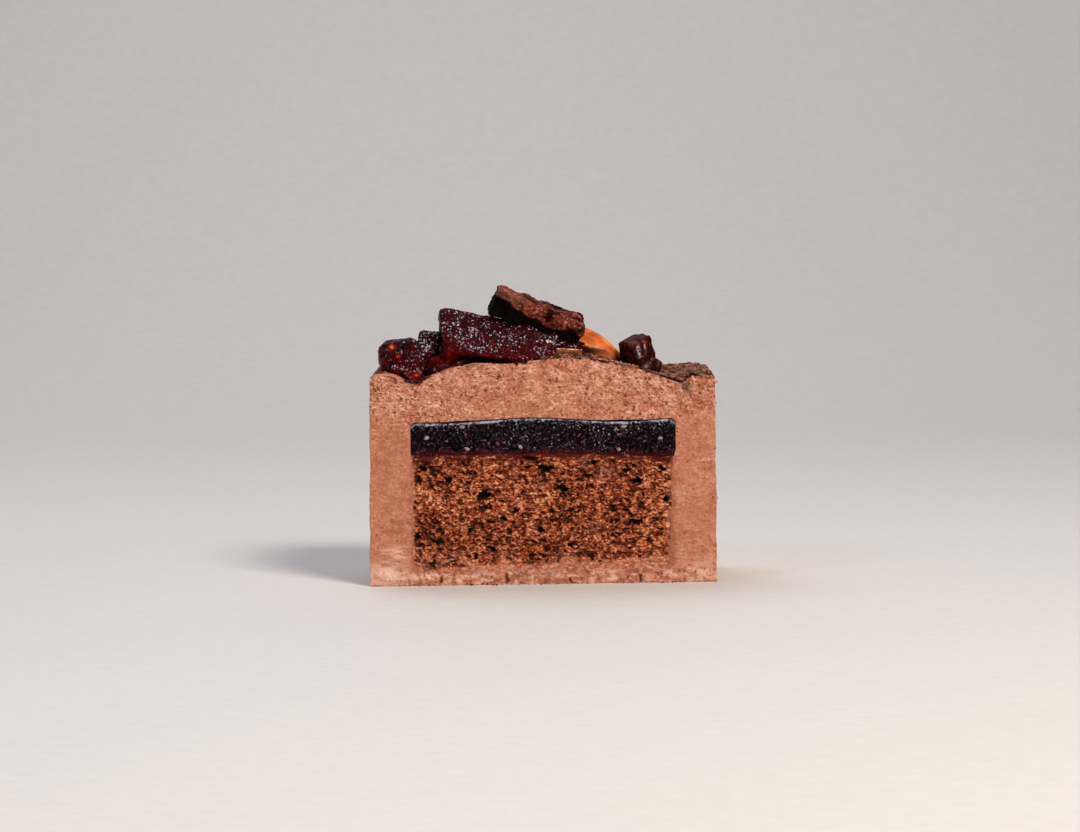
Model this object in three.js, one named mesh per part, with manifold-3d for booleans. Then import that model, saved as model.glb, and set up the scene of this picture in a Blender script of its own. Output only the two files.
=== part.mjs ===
// Half of a square individual chocolate mousse cake, as cut with a knife.
// A mousse block with a raised rim, a shallow groove and a pillow dome holds a square
// insert of chocolate sponge under a dark fruit jelly. Pieces of fruit jelly, brownie,
// almond and chocolate lie on the dome. Millimetres, +Z up. Every shape is modelled about
// the middle of the whole cake, and the half that is kept lies behind the cut (+Y).

import * as THREE from 'three';
import { mergeVertices } from 'three/addons/utils/BufferGeometryUtils.js';
import Module from 'manifold-3d';

const wasm = await Module();
wasm.setup();

// ---------------------------------------------------------------- driving dimensions

const side = 85; // the whole cake is a square of this side
const cornerRadius = 7; // upright corners of the mousse block, and of its groove
const wallDraft = 0.3; // the walls lean in by this much at the rim
const cutAngle = THREE.MathUtils.degToRad(4.5); // the knife went a little askew
const gap = 0.3; // clearance between neighbouring pieces

const rimLeftHeight = 51.7;
const rimRightHeight = 50.9;
const rimEdgeRadius = 1.3; // rounded outer edge of the rim
const rimFlatWidth = 5.2; // flat top of the rim, from the wall inwards
const grooveLeftInset = 10.4; // where the rim's inner slope reaches the groove
const grooveRightInset = 8.7;
const grooveHeight = 49.05;

const domeRise = 6.5; // dome peak above the groove
const domePeakX = 7.5;
const domeLeftReach = 39.4; // from the peak to the left groove
const domeRightReach = 26.1; // from the peak to the right groove
const domeDepthReach = 33; // from the middle of the cake to the back groove
const domeLeftPower = 3.8; // the left side of the dome is full and steep
const domeRightPower = 1.6; // the right side slopes gently
const domeDepthPower = 2.6;

const dentDepth = 1.5; // where the jelly bar has sunk into the dome
const dentX = -7.5;
const dentY = 6;
const dentWidth = 4.5;
const dentLength = 8;

const insertSide = 64.8; // the jelly layer and the sponge under it
const insertCorner = 6;
const jellyTop = 40.3;
const jellyWave = 0.5; // height of the slow wave in the jelly's top
const jellyWaveLength = 44;
const jellyWaveShift = 3;
const jellyEdgeRadius = 1.1;
const spongeTop = 31.8;
const spongeCrown = 0.7; // the sponge is a little higher in its middle
const spongeSlope = 0.012; // and falls a little to the right
const spongeBottom = 3.4;
const spongeNarrower = 0.5; // the sponge has shrunk away from the jelly's outline

// Open cells at the cut face of the sponge: [x, z, width, height] of the largest.
const largeCells = [
  [0.4, 28.3, 3.7, 2.0],
  [-14.6, 21.9, 3.5, 2.2],
  [-23.4, 25.7, 2.0, 1.7],
  [22.7, 25.1, 2.6, 1.6],
  [22.6, 15.0, 3.2, 1.6],
  [5.0, 23.4, 1.9, 1.9],
  [-27.4, 5.1, 1.8, 1.3],
];
const smallCellCount = 16;
const smallCellSize = 1.7;
const cellDepth = 1.6;

// ---------------------------------------------------------------- helpers

// Seeded random numbers between 0 and 1.
function randomFrom(seed) {
  let state = seed >>> 0;
  return () => {
    state = (state + 0x6d2b79f5) >>> 0;
    let t = Math.imul(state ^ (state >>> 15), state | 1);
    t ^= t + Math.imul(t ^ (t >>> 7), t | 61);
    return ((t ^ (t >>> 14)) >>> 0) / 4294967296;
  };
}

// A smooth uneven field between about -1 and 1: sine waves in random directions whose
// lengths lie round the given wavelength.
function unevenField(seed, wavelength) {
  const random = randomFrom(seed);
  const waves = [];
  for (let i = 0; i < 6; i += 1) {
    const direction = new THREE.Vector3(random() - 0.5, random() - 0.5, random() - 0.5);
    const length = wavelength * (0.6 + 0.9 * random());
    direction.normalize().multiplyScalar((2 * Math.PI) / length);
    waves.push({ direction, phase: 2 * Math.PI * random() });
  }
  return (point) => {
    let sum = 0;
    for (const wave of waves) {
      sum += Math.sin(wave.direction.dot(point) + wave.phase);
    }
    return (sum / waves.length) * 1.8;
  };
}

function toSolid(geometry) {
  const bare = geometry.clone();
  bare.deleteAttribute('normal');
  bare.deleteAttribute('uv');
  const merged = mergeVertices(bare, 1e-4);
  return new wasm.Manifold(new wasm.Mesh({
    numProp: 3,
    vertProperties: new Float32Array(merged.attributes.position.array),
    triVerts: new Uint32Array(merged.index.array),
  }));
}

function toGeometry(solid) {
  const mesh = solid.getMesh();
  const geometry = new THREE.BufferGeometry();
  geometry.setAttribute('position', new THREE.BufferAttribute(new Float32Array(mesh.vertProperties), 3));
  geometry.setIndex(new THREE.BufferAttribute(new Uint32Array(mesh.triVerts), 1));
  geometry.computeVertexNormals();
  return geometry;
}

function joined(solids) {
  return solids.reduce((whole, solid) => whole.add(solid));
}

function without(solid, cutters) {
  return cutters.reduce((rest, cutter) => rest.subtract(cutter), solid);
}

// ---------------------------------------------------------------- layers of the cake

// How far a point lies inside a square of the given half side. The lines of equal inset
// are smaller squares whose corners all have the same radius.
function insetFrom(x, y, half, radius) {
  const outX = Math.abs(x) - (half - radius);
  const outY = Math.abs(y) - (half - radius);
  const sum = outX + outY;
  const straight = radius - Math.max(outX, outY);
  const root = sum ** 2 - 2 * (outX ** 2 + outY ** 2 - radius ** 2);
  const round = (Math.sqrt(Math.max(root, 0)) - sum) / 2;
  const inCorner = Math.min(outX, outY) + straight > 0;
  return inCorner ? round : straight;
}

// Grid lines across a layer: close together near both walls, wider in the middle.
function gridLines(half, nearWall, middleSteps) {
  const inner = half - nearWall[nearWall.length - 1];
  const lines = nearWall.map((inset) => inset - half);
  for (let i = 1; i < middleSteps; i += 1) {
    lines.push(-inner + (2 * inner * i) / middleSteps);
  }
  return lines.concat(nearWall.map((inset) => half - inset).reverse());
}

// Moves a grid point of the square so that every square ring of the grid gets round
// corners: near a corner the point is pulled back onto a circle of the radius.
function roundCorner(x, y, radius) {
  const ring = Math.max(Math.abs(x), Math.abs(y));
  const bend = Math.min(radius, ring);
  const outX = Math.abs(x) - (ring - bend);
  const outY = Math.abs(y) - (ring - bend);
  if (outX <= 0 || outY <= 0) return [x, y];
  const scale = bend / Math.hypot(outX, outY);
  const roundX = ring - bend + outX * scale;
  const roundY = ring - bend + outY * scale;
  return [Math.sign(x) * roundX, Math.sign(y) * roundY];
}

// The outline of a square grid as point numbers, counterclockwise seen from above.
function gridOutline(count) {
  const last = count - 1;
  const outline = [];
  for (let i = 0; i < last; i += 1) outline.push(i);
  for (let j = 0; j < last; j += 1) outline.push(j * count + last);
  for (let i = last; i > 0; i -= 1) outline.push(last * count + i);
  for (let j = last; j > 0; j -= 1) outline.push(j * count);
  return outline;
}

// A closed layer of the cake on a square grid. Its top is a height function of x and y,
// its underside is flat: a fan round the middle. The wall between them is upright, or
// leans in towards the top by the draft.
function layer({ half, radius, lines, top, bottom, draft = 0 }) {
  const count = lines.length;
  const lean = 1 - draft / half;
  const positions = [];
  for (const lineY of lines) {
    for (const lineX of lines) {
      const [x, y] = roundCorner(lineX, lineY, radius);
      positions.push(x * lean, y * lean, top(x, y));
    }
  }
  const faces = [];
  for (let j = 0; j < count - 1; j += 1) {
    for (let i = 0; i < count - 1; i += 1) {
      const near = j * count + i;
      const far = near + count;
      faces.push(near, near + 1, far + 1, near, far + 1, far);
    }
  }
  const outline = gridOutline(count);
  const foot = count * count;
  const middle = foot + outline.length;
  outline.forEach((upper, k) => {
    const next = (k + 1) % outline.length;
    positions.push(positions[3 * upper] / lean, positions[3 * upper + 1] / lean, bottom);
    faces.push(upper, foot + k, foot + next, upper, foot + next, outline[next]);
    faces.push(middle, foot + next, foot + k);
  });
  positions.push(0, 0, bottom);
  const geometry = new THREE.BufferGeometry();
  geometry.setAttribute('position', new THREE.Float32BufferAttribute(positions, 3));
  geometry.setIndex(faces);
  return toSolid(geometry);
}

// Everything behind the knife's cut.
function behindCut() {
  const reach = 2 * side;
  const block = new THREE.BoxGeometry(reach, reach, reach);
  block.translate(0, reach / 2, 0);
  block.rotateZ(cutAngle);
  return toSolid(block);
}

// How much an edge of the given radius, rounded over, drops at a distance from the wall.
function edgeDrop(inset, radius) {
  const toEdge = Math.max(radius - inset, 0);
  return radius - Math.sqrt(Math.max(radius ** 2 - toEdge ** 2, 0));
}

// Height of the mousse: rim with a rounded outer edge, slope to the groove, then the dome,
// which is highest at the middle of the cake, and the dent under the jelly bar.
function mousseTop(x, y) {
  const half = side / 2;
  const rim = THREE.MathUtils.mapLinear(x, -half, half, rimLeftHeight, rimRightHeight);
  const grooveInset = THREE.MathUtils.mapLinear(x, -half, half, grooveLeftInset, grooveRightInset);
  const inset = insetFrom(x, y, half, cornerRadius);
  const slope = THREE.MathUtils.smoothstep(inset, rimFlatWidth, grooveInset);
  const bed = THREE.MathUtils.lerp(rim, grooveHeight, slope);
  const reach = x < domePeakX ? domeLeftReach : domeRightReach;
  const power = x < domePeakX ? domeLeftPower : domeRightPower;
  const across = Math.max(1 - (Math.abs(x - domePeakX) / reach) ** power, 0);
  const along = Math.max(1 - (Math.abs(y) / domeDepthReach) ** domeDepthPower, 0);
  const dentAcross = ((x - dentX) / dentWidth) ** 2;
  const dentAlong = ((y - dentY) / dentLength) ** 2;
  const dent = dentDepth * Math.exp(-(dentAcross + dentAlong) / 2);
  return bed - edgeDrop(inset, rimEdgeRadius) + domeRise * across * along - dent;
}

// The whole block of mousse, its top raised by the given clearance.
function mousseBlock(raise) {
  return layer({
    half: side / 2,
    radius: cornerRadius,
    lines: gridLines(side / 2, [0, 0.5, 1.3, 3.2, 5.2, 6.6, 8.1, 9.6, 11.2], 15),
    top: (x, y) => mousseTop(x, y) + raise,
    bottom: 0,
    draft: wallDraft,
  });
}

function jellyUpperSide(x) {
  return jellyTop + jellyWave * Math.cos((2 * Math.PI * (x + jellyWaveShift)) / jellyWaveLength);
}

// A layer of the square insert, with the given half side.
function insertLayer(half, top, bottom) {
  const nearWall = [0, 0.4, 1.1, 3, insertCorner];
  return layer({ half, radius: insertCorner, lines: gridLines(half, nearWall, 9), top, bottom });
}

// The hollow in the mousse that the jelly and the sponge fill.
function insertHollow() {
  return insertLayer(insertSide / 2 + gap, (x) => jellyUpperSide(x) + gap, spongeBottom - gap);
}

function mousse() {
  return mousseBlock(0).intersect(behindCut()).subtract(insertHollow());
}

// The jelly lies on the sponge, whose upper side is a little domed.
function jellyLayer() {
  const half = insertSide / 2;
  const top = (x, y) => jellyUpperSide(x) - edgeDrop(insetFrom(x, y, half, insertCorner), jellyEdgeRadius);
  const slab = insertLayer(half, top, spongeBottom);
  const below = insertLayer(half + gap, (x) => spongeUpperSide(x) + gap, spongeBottom - gap);
  return slab.intersect(behindCut()).subtract(below);
}

// One open cell of the crumb: a small uneven ball, flattened, at the cut face.
function crumbCell(x, z, width, height, field) {
  const ball = new THREE.IcosahedronGeometry(1, 1);
  const position = ball.attributes.position;
  const point = new THREE.Vector3();
  for (let i = 0; i < position.count; i += 1) {
    point.fromBufferAttribute(position, i);
    const swell = 1 + 0.22 * field(point.clone().addScalar(x + z));
    position.setXYZ(i, point.x * swell, point.y * swell, point.z * swell);
  }
  ball.scale(width / 2, cellDepth, height / 2);
  ball.rotateZ(cutAngle);
  ball.translate(x, x * Math.tan(cutAngle), z);
  return toSolid(ball);
}

function spongeUpperSide(x) {
  return spongeTop - spongeSlope * x + spongeCrown * Math.cos((Math.PI * x) / insertSide);
}

function sponge() {
  const half = insertSide / 2 - spongeNarrower;
  const uneven = unevenField(5, 7);
  const random = randomFrom(11);
  const cells = largeCells.map(([x, z, width, height]) => crumbCell(x, z, width, height, uneven));
  const columns = smallCellCount / 2;
  for (let i = 0; i < smallCellCount; i += 1) {
    const x = -half + (2 * half * ((i % columns) + 0.2 + 0.6 * random())) / columns;
    const z = 7 + 12 * Math.floor(i / columns) + 8 * random();
    const size = smallCellSize * (0.7 + 0.6 * random());
    cells.push(crumbCell(x, z, size * 1.2, size, uneven));
  }
  return without(insertLayer(half, spongeUpperSide, spongeBottom).intersect(behindCut()), cells);
}

// ---------------------------------------------------------------- pieces on top

// A block with rounded edges and an uneven skin: a box grid whose points are pulled onto
// the rounded box and then moved outwards or inwards by the uneven field.
function unevenBlock(shape, grow) {
  const [length, depth, height] = shape.size;
  const steps = [length, depth, height].map((size) => Math.max(2, Math.round(size / shape.step)));
  const box = new THREE.BoxGeometry(length, depth, height, ...steps);
  const field = unevenField(shape.seed, shape.wavelength);
  const position = box.attributes.position;
  const limit = new THREE.Vector3(length, depth, height).multiplyScalar(0.5).subScalar(shape.round);
  const point = new THREE.Vector3();
  const core = new THREE.Vector3();
  for (let i = 0; i < position.count; i += 1) {
    point.fromBufferAttribute(position, i);
    core.copy(point).clamp(limit.clone().negate(), limit);
    const swell = shape.round + grow + shape.uneven * field(point);
    const out = point.clone().sub(core).normalize();
    position.setXYZ(i, core.x + out.x * swell, core.y + out.y * swell, core.z + out.z * swell);
  }
  const [roll, tilt, turn] = shape.angles.map((angle) => THREE.MathUtils.degToRad(angle));
  box.applyMatrix4(new THREE.Matrix4().makeRotationFromEuler(new THREE.Euler(roll, tilt, turn, 'ZYX')));
  box.translate(...shape.at);
  return toSolid(box);
}

// Sizes are length (x), depth (y) and height (z) before the piece is turned; angles are
// degrees about x, y and z.
const jellyBarShape = {
  size: [28.4, 11, 10.1], at: [-11.2, 6.8, 59.4], angles: [-12, 9.4, 2.5],
  round: 1.5, step: 2, uneven: 0.26, wavelength: 5, seed: 21,
};
const jellyLumpShapes = [
  {
    size: [11.2, 10, 8.2], at: [-35.2, 10.8, 55.6], angles: [0, -7, 9],
    round: 3.6, step: 2, uneven: 0.35, wavelength: 6, seed: 31,
  },
  {
    size: [8.6, 8, 5.6], at: [-33.6, 8.8, 53.4], angles: [0, 22, 12],
    round: 1.1, step: 2, uneven: 0.25, wavelength: 5, seed: 34,
  },
  {
    size: [5.2, 9, 10.8], at: [-28.2, 10.5, 56.2], angles: [0, 6, -8],
    round: 1, step: 2, uneven: 0.25, wavelength: 5, seed: 32,
  },
  {
    size: [8.4, 8.5, 4.6], at: [-24.4, 7.6, 54.6], angles: [0, -24, 10],
    round: 1.2, step: 2, uneven: 0.25, wavelength: 5, seed: 33,
  },
];
const browniePieceShape = {
  size: [22.8, 10.5, 5.4], at: [-1.4, 6.6, 65.9], angles: [10, 21, 6],
  round: 0.6, step: 1.6, uneven: 0.4, wavelength: 4.2, seed: 41,
};
const chocolateChunkShapes = [
  {
    size: [6.6, 6, 8.6], at: [23.4, 8.8, 55.8], angles: [0, -19, 32],
    round: 1, step: 1.5, uneven: 0.3, wavelength: 5, seed: 51,
  },
  {
    size: [4, 4.4, 4.2], at: [26.7, 9.4, 52.9], angles: [0, 24, 20],
    round: 0.8, step: 1.4, uneven: 0.2, wavelength: 4, seed: 52,
  },
];
const caramelCubeShape = {
  size: [6.6, 5.4, 2.7], at: [6.1, 6.2, 56.3], angles: [0, 3, 6],
  round: 0.35, step: 1.5, uneven: 0.08, wavelength: 4, seed: 61,
};
const jellyScrapShape = {
  size: [7.8, 4.6, 1.9], at: [6.4, 6.0, 58.7], angles: [0, 10, 4],
  round: 0.6, step: 1.3, uneven: 0.16, wavelength: 3, seed: 71,
};

// The almond: a ball stretched to the nut's length, blunt at the back end and drawn to a
// point at the front end, flatter than it is wide.
const almondShape = {
  length: 21.5, width: 12, thickness: 9, at: [9.9, 15.2, 57.6], angles: [0, 17, -24],
};

function almondKernel(grow) {
  const ball = new THREE.SphereGeometry(1, 18, 14);
  ball.rotateZ(Math.PI / 2);
  const position = ball.attributes.position;
  for (let i = 0; i < position.count; i += 1) {
    const along = position.getX(i);
    const narrow = 1 - 0.22 * along - 0.12 * along * along;
    const x = along * (almondShape.length / 2 + grow);
    const y = position.getY(i) * (almondShape.width / 2 + grow) * narrow;
    const z = position.getZ(i) * (almondShape.thickness / 2 + grow) * narrow;
    position.setXYZ(i, x, y, z);
  }
  const [roll, tilt, turn] = almondShape.angles.map((angle) => THREE.MathUtils.degToRad(angle));
  ball.applyMatrix4(new THREE.Matrix4().makeRotationFromEuler(new THREE.Euler(roll, tilt, turn, 'ZYX')));
  ball.translate(...almondShape.at);
  return toSolid(ball);
}

function jellyLump(grow) {
  return joined(jellyLumpShapes.map((shape) => unevenBlock(shape, grow)));
}

function chocolateChunk(grow) {
  return joined(chocolateChunkShapes.map((shape) => unevenBlock(shape, grow)));
}

// ---------------------------------------------------------------- the object

function piece(name, solid, color, roughness) {
  const material = new THREE.MeshStandardMaterial({ color, roughness, metalness: 0 });
  const mesh = new THREE.Mesh(toGeometry(solid), material);
  mesh.name = name;
  return mesh;
}

const bed = mousseBlock(gap);
const lumpRoom = jellyLump(gap);
const barRoom = unevenBlock(jellyBarShape, gap);
const brownieRoom = unevenBlock(browniePieceShape, gap);
const caramelRoom = unevenBlock(caramelCubeShape, gap);
const scrapRoom = unevenBlock(jellyScrapShape, gap);
const chunkRoom = chocolateChunk(gap);

const layers = new THREE.Group();
layers.add(piece('mousse', mousse(), '#c17f65', 0.75));
layers.add(piece('jelly_layer', jellyLayer(), '#311e22', 0.25));
layers.add(piece('sponge', sponge(), '#733723', 0.9));

const toppings = new THREE.Group();
toppings.add(piece('jelly_lump', without(jellyLump(0), [bed, barRoom]), '#451d21', 0.2));
toppings.add(piece('jelly_bar', without(unevenBlock(jellyBarShape, 0), [bed]), '#451d21', 0.2));
toppings.add(piece('brownie_piece', without(unevenBlock(browniePieceShape, 0), [barRoom]), '#743931', 0.6));
toppings.add(piece('caramel_cube', without(unevenBlock(caramelCubeShape, 0), [bed, barRoom]), '#b05a28', 0.25));
toppings.add(piece(
  'jelly_scrap',
  without(unevenBlock(jellyScrapShape, 0), [barRoom, caramelRoom, brownieRoom]),
  '#4a1a1c',
  0.2,
));
toppings.add(piece(
  'almond',
  without(almondKernel(0), [bed, barRoom, brownieRoom, caramelRoom, scrapRoom, chunkRoom]),
  '#d76833',
  0.4,
));
toppings.add(piece('chocolate_chunk', without(chocolateChunk(0), [bed]), '#3a1a16', 0.35));

const cake = new THREE.Group();
cake.add(layers, toppings);
// The origin is under the middle of the half's bounding box, on the surface it stands on.
cake.position.y = (Math.tan(cutAngle) - 1) * (side / 4);

export default cake;
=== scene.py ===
"""Half of a square chocolate mousse cake, cut to show fruit jelly over sponge.

Every surface is a function of two parameters on a numpy grid, in millimetres about the middle of
the whole cake, and is put into the shared frame in metres when its mesh is made. Uneven skins come
from two kinds of seeded noise: smooth noise on a cubic lattice, and cells round jittered points.
x runs along the cut to the viewer's right, y away from the viewer, and z up.
"""

import math
from typing import NamedTuple

import bpy
import numpy as np
from mathutils import Matrix, Vector


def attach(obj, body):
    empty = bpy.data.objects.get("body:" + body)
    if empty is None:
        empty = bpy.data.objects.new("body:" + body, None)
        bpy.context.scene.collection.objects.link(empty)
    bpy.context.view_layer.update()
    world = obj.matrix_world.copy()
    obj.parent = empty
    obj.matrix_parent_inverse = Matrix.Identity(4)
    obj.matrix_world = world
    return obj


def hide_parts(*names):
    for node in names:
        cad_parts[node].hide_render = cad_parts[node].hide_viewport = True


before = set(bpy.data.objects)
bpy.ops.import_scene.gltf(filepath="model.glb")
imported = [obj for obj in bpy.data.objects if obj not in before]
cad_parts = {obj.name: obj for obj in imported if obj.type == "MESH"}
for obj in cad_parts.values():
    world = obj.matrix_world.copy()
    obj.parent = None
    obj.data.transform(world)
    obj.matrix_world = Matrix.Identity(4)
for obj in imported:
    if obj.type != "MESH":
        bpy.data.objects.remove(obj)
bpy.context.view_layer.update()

# ------------------------------------------------------------------ sizes shared with the solids

MM = 0.001  # metres in a millimetre
SIDE = 85.0  # side of the whole square cake
HALF = SIDE / 2
CORNER = 7.0  # radius of the upright corners
DRAFT = 0.3  # the walls lean in by this much at the rim
CUT = math.tan(math.radians(4.5))  # the knife's cut moves back by this for each mm to the right
SHIFT = (CUT - 1) * SIDE / 4  # from the middle of the whole cake to the frame's origin, along y
RIM = 51.3  # height at which the draft is reached
LEAN = 1 - DRAFT / HALF  # what is left there of a width at the foot
INSERT = 32.4  # half the side of the jelly layer
INSERT_CORNER = 1.9  # radius of its upper corners in the cut

# ------------------------------------------------------------------ noise

FAR = 9.0  # cell widths; further than any nearest centre
PRIMES, SEED_STEP = (73856093, 19349663, 83492791), 40503
MIXING = [(15, 739982445), (13, 695872825)]  # shifts and factors of lattice_random
LOW_BITS = 0xFFFFFFFF  # the lowest 32 bits of a whole number
FRACTAL_HEIGHT = 1.6  # brings a sum of noises back to about -1 to 1


def smooth(value, low, high):
    """Smooth step: 0 below low, 1 above high, 3t^2 - 2t^3 between them."""
    t = np.clip((value - low) / (high - low), 0, 1)
    return t * t * (3 - 2 * t)


def triple(x, y, z):
    """Points from their three coordinates, each of them an array or one number."""
    return np.stack(np.broadcast_arrays(x, y, z), axis=-1)


def lattice_random(whole, seed):
    """A random number from 0 to 1 for each point of whole numbers: the three are multiplied by
    large primes, joined by exclusive or, and mixed by shifts and products of 32 bits."""
    n = whole.astype(np.int64) * PRIMES
    mix = ((n[..., 0] ^ n[..., 1] ^ n[..., 2]) + seed * SEED_STEP) & LOW_BITS
    for shift, factor in MIXING:
        mix = ((mix ^ (mix >> shift)) * factor) & LOW_BITS
    return (mix ^ (mix >> 16)) / (LOW_BITS + 1)


def noise(points, size, seed):
    """Smooth noise from -1 to 1: random numbers at lattice points `size` mm apart, blended along
    each axis with 6t^5 - 15t^4 + 10t^3."""
    scaled = points / np.asarray(size, float)
    base = np.floor(scaled)
    t = scaled - base
    t = t * t * t * (t * (t * 6 - 15) + 10)
    total = 0
    for corner in np.ndindex(2, 2, 2):
        weight = np.prod(np.where(corner, t, 1 - t), axis=-1)
        total = total + weight * lattice_random(base + corner, seed)
    return 2 * total - 1


def fractal(points, size, seed, octaves=3, gain=0.5):
    """Sum of smooth noises, each with half the size and `gain` times the height of the last."""
    total, height, whole = 0, 1.0, 0.0
    for k in range(octaves):
        total = total + height * noise(points, np.asarray(size, float) / 2**k, seed + 17 * k)
        whole += height
        height *= gain
    return total / whole * FRACTAL_HEIGHT


def cells(points, size, seed):
    """Jittered cells `size` mm apart: the distance to the nearest centre and to the second
    nearest, in mm, and the nearest one's own random number."""
    scaled = points / size
    base = np.floor(scaled)
    shape = scaled.shape[:-1]
    first, second, mark = np.full(shape, FAR), np.full(shape, FAR), np.zeros(shape)
    for offset in np.ndindex(3, 3, 3):
        corner = base + np.array(offset) - 1
        centre = corner + np.stack([lattice_random(corner, seed + k) for k in range(3)], axis=-1)
        distance = np.linalg.norm(scaled - centre, axis=-1)
        nearer = distance < first
        second = np.where(nearer, first, np.minimum(second, distance))
        mark = np.where(nearer, lattice_random(corner, seed + 3), mark)
        first = np.minimum(first, distance)
    return first * size, second * size, mark


def bubbles(points, size, seed, smallest, largest, share):
    """Depth in mm of round pits left by cut bubbles: round each jittered centre, for a share of
    them, a ball of random radius r is dug out, sqrt(r^2 - d^2) deep at the distance d."""
    scaled = points / size
    base = np.floor(scaled)
    depth = np.zeros(scaled.shape[:-1])
    for offset in np.ndindex(3, 1, 3):
        corner = base + np.array(offset) - (1, 0, 1)
        centre = corner + np.stack([lattice_random(corner, seed + k) for k in range(3)], axis=-1)
        centre[..., 1] = scaled[..., 1]
        distance = np.linalg.norm(scaled - centre, axis=-1) * size
        radius = smallest + (largest - smallest) * lattice_random(corner, seed + 4) ** 2
        pit = np.sqrt(np.maximum(radius**2 - distance**2, 0))
        depth = np.maximum(depth, np.where(lattice_random(corner, seed + 5) < share, pit, 0))
    return depth


def spot(x, z, middle_x, middle_z, reach_x, reach_z):
    """A soft oval spot: 1 in its middle, falling off as exp(-d^2) of the scaled distance."""
    return np.exp(-(((x - middle_x) / reach_x) ** 2) - ((z - middle_z) / reach_z) ** 2)


def spots(x, z, listed):
    """Sum of soft spots, each listed as x, z, reach in x, reach in z and amount."""
    return sum(amount * spot(x, z, *placed) for *placed, amount in listed)


# ------------------------------------------------------------------ meshes


def unit_grid(columns, rows):
    """A grid's two parameters, each from 0 to 1: one for its columns and one for its rows."""
    return np.linspace(0, 1, columns + 1)[:, None], np.linspace(0, 1, rows + 1)[None, :]


def grid_faces(numbers):
    """Four-cornered faces between the rows and columns of a grid of point numbers."""
    corners = numbers[:-1, :-1], numbers[:-1, 1:], numbers[1:, 1:], numbers[1:, :-1]
    return np.stack([c.ravel() for c in corners], axis=1)


def border_of(numbers):
    """The point numbers along a grid's border, once round."""
    sides = numbers[:-1, 0], numbers[-1, :-1], numbers[:0:-1, -1], numbers[0, :0:-1]
    return np.concatenate(sides)


def make_piece(name, points, faces, material, slot, replaced=(), **attributes):
    """Makes a mesh piece from points in mm about the cake's middle and lists of equal faces. Points
    that no face uses are dropped. Each attribute is one number for every point."""
    loops = np.concatenate([np.ravel(f) for f in faces])
    totals = np.concatenate([np.full(len(f), np.shape(f)[1]) for f in faces])
    used, loops = np.unique(loops, return_inverse=True)
    mesh = bpy.data.meshes.new(name)
    mesh.vertices.add(len(used))
    mesh.vertices.foreach_set("co", ((points[used] + (0, SHIFT, 0)) * MM).ravel())
    mesh.loops.add(len(loops))
    mesh.loops.foreach_set("vertex_index", loops.astype(np.int32))
    mesh.polygons.add(len(totals))
    mesh.polygons.foreach_set("loop_start", (np.cumsum(totals) - totals).astype(np.int32))
    mesh.polygons.foreach_set("use_smooth", np.ones(len(totals), bool))
    for key, values in attributes.items():
        layer = mesh.attributes.new(key, "FLOAT", "POINT")
        layer.data.foreach_set("value", np.ravel(values)[used].astype(np.float32))
    mesh.update(calc_edges=True)
    mesh.validate()
    mesh.materials.append(material)
    piece = bpy.data.objects.new(name, mesh)
    bpy.context.scene.collection.objects.link(piece)
    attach(piece, "root")
    if replaced:
        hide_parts(*replaced)


def carried_back(points, loop, first, back_y):
    """Carries a loop of points straight back to y = back_y and closes it there by a fan. Gives the
    added points, numbered from `first`, and the faces of a solid that fills the loop."""
    rear = points[loop].copy()
    rear[:, 1] = back_y
    numbers = first + np.arange(len(loop))
    following = np.roll(numbers, -1)
    sides = np.stack([loop, numbers, following, np.roll(loop, -1)], axis=1)
    fan = np.stack([numbers, np.full(len(loop), first + len(loop)), following], axis=1)
    return np.concatenate([rear, rear.mean(axis=0, keepdims=True)]), [sides, fan]


def with_rear(values, points, fill=0.0):
    """Values of a grid, made as long as all the points, with `fill` for the added ones."""
    return np.concatenate([np.ravel(values), np.full(len(points) - np.size(values), fill)])


def slab(front, **values):
    """Closes a cut face, given as a grid of points (left to right, bottom to top), into a solid
    that runs back as far as the insert does, and makes its values as long as its points."""
    numbers = np.arange(front[..., 0].size).reshape(front.shape[:2])
    points = front.reshape(-1, 3)
    rear, closing = carried_back(points, border_of(numbers), len(points), INSERT)
    points = np.concatenate([points, rear])
    faces = [grid_faces(numbers)[:, ::-1], *closing]
    return points, faces, {key: with_rear(value, points) for key, value in values.items()}


# ------------------------------------------------------------------ shape of the cake


def inset_from(x, y, half, radius):
    """How far a point lies inside a square of that half side, measured so that the lines of equal
    inset are smaller squares with the same round corners."""
    out_x = np.abs(x) - (half - radius)
    out_y = np.abs(y) - (half - radius)
    total = out_x + out_y
    straight = radius - np.maximum(out_x, out_y)
    root = np.maximum(total**2 - 2 * (out_x**2 + out_y**2 - radius**2), 0)
    rounded = (np.sqrt(root) - total) / 2
    return np.where(np.minimum(out_x, out_y) + straight > 0, rounded, straight)


def edge_drop(inset, radius):
    """Drop of a rounded edge: a quarter circle of the radius, nought further in."""
    to_edge = np.clip(radius - inset, 0, radius)
    return radius - np.sqrt(radius**2 - to_edge**2)


def mousse_top(x, y):
    """Height of the mousse: a rim with a rounded outer edge, a slope down to the groove, and a
    dome whose height falls off as powers of the distance from its peak, with a dent in it."""
    groove, dome_height, peak_x, edge_radius = 49.05, 6.5, 7.5, 1.3
    along = (x + HALF) / SIDE
    rim = 51.7 - 0.8 * along
    inset = inset_from(x, y, HALF, CORNER)
    slope = smooth(inset, 5.2, 10.4 - 1.7 * along)
    left = x < peak_x
    across = 1 - (np.abs(x - peak_x) / np.where(left, 39.4, 26.1)) ** np.where(left, 3.8, 1.6)
    depth = 1 - (np.abs(y) / 33) ** 2.6
    dent = 1.5 * np.exp(-(((x + 7.5) / 4.5) ** 2 + ((y - 6) / 8) ** 2) / 2)
    dome = dome_height * np.maximum(across, 0) * np.maximum(depth, 0)
    return rim + (groove - rim) * slope - edge_drop(inset, edge_radius) + dome - dent


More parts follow.
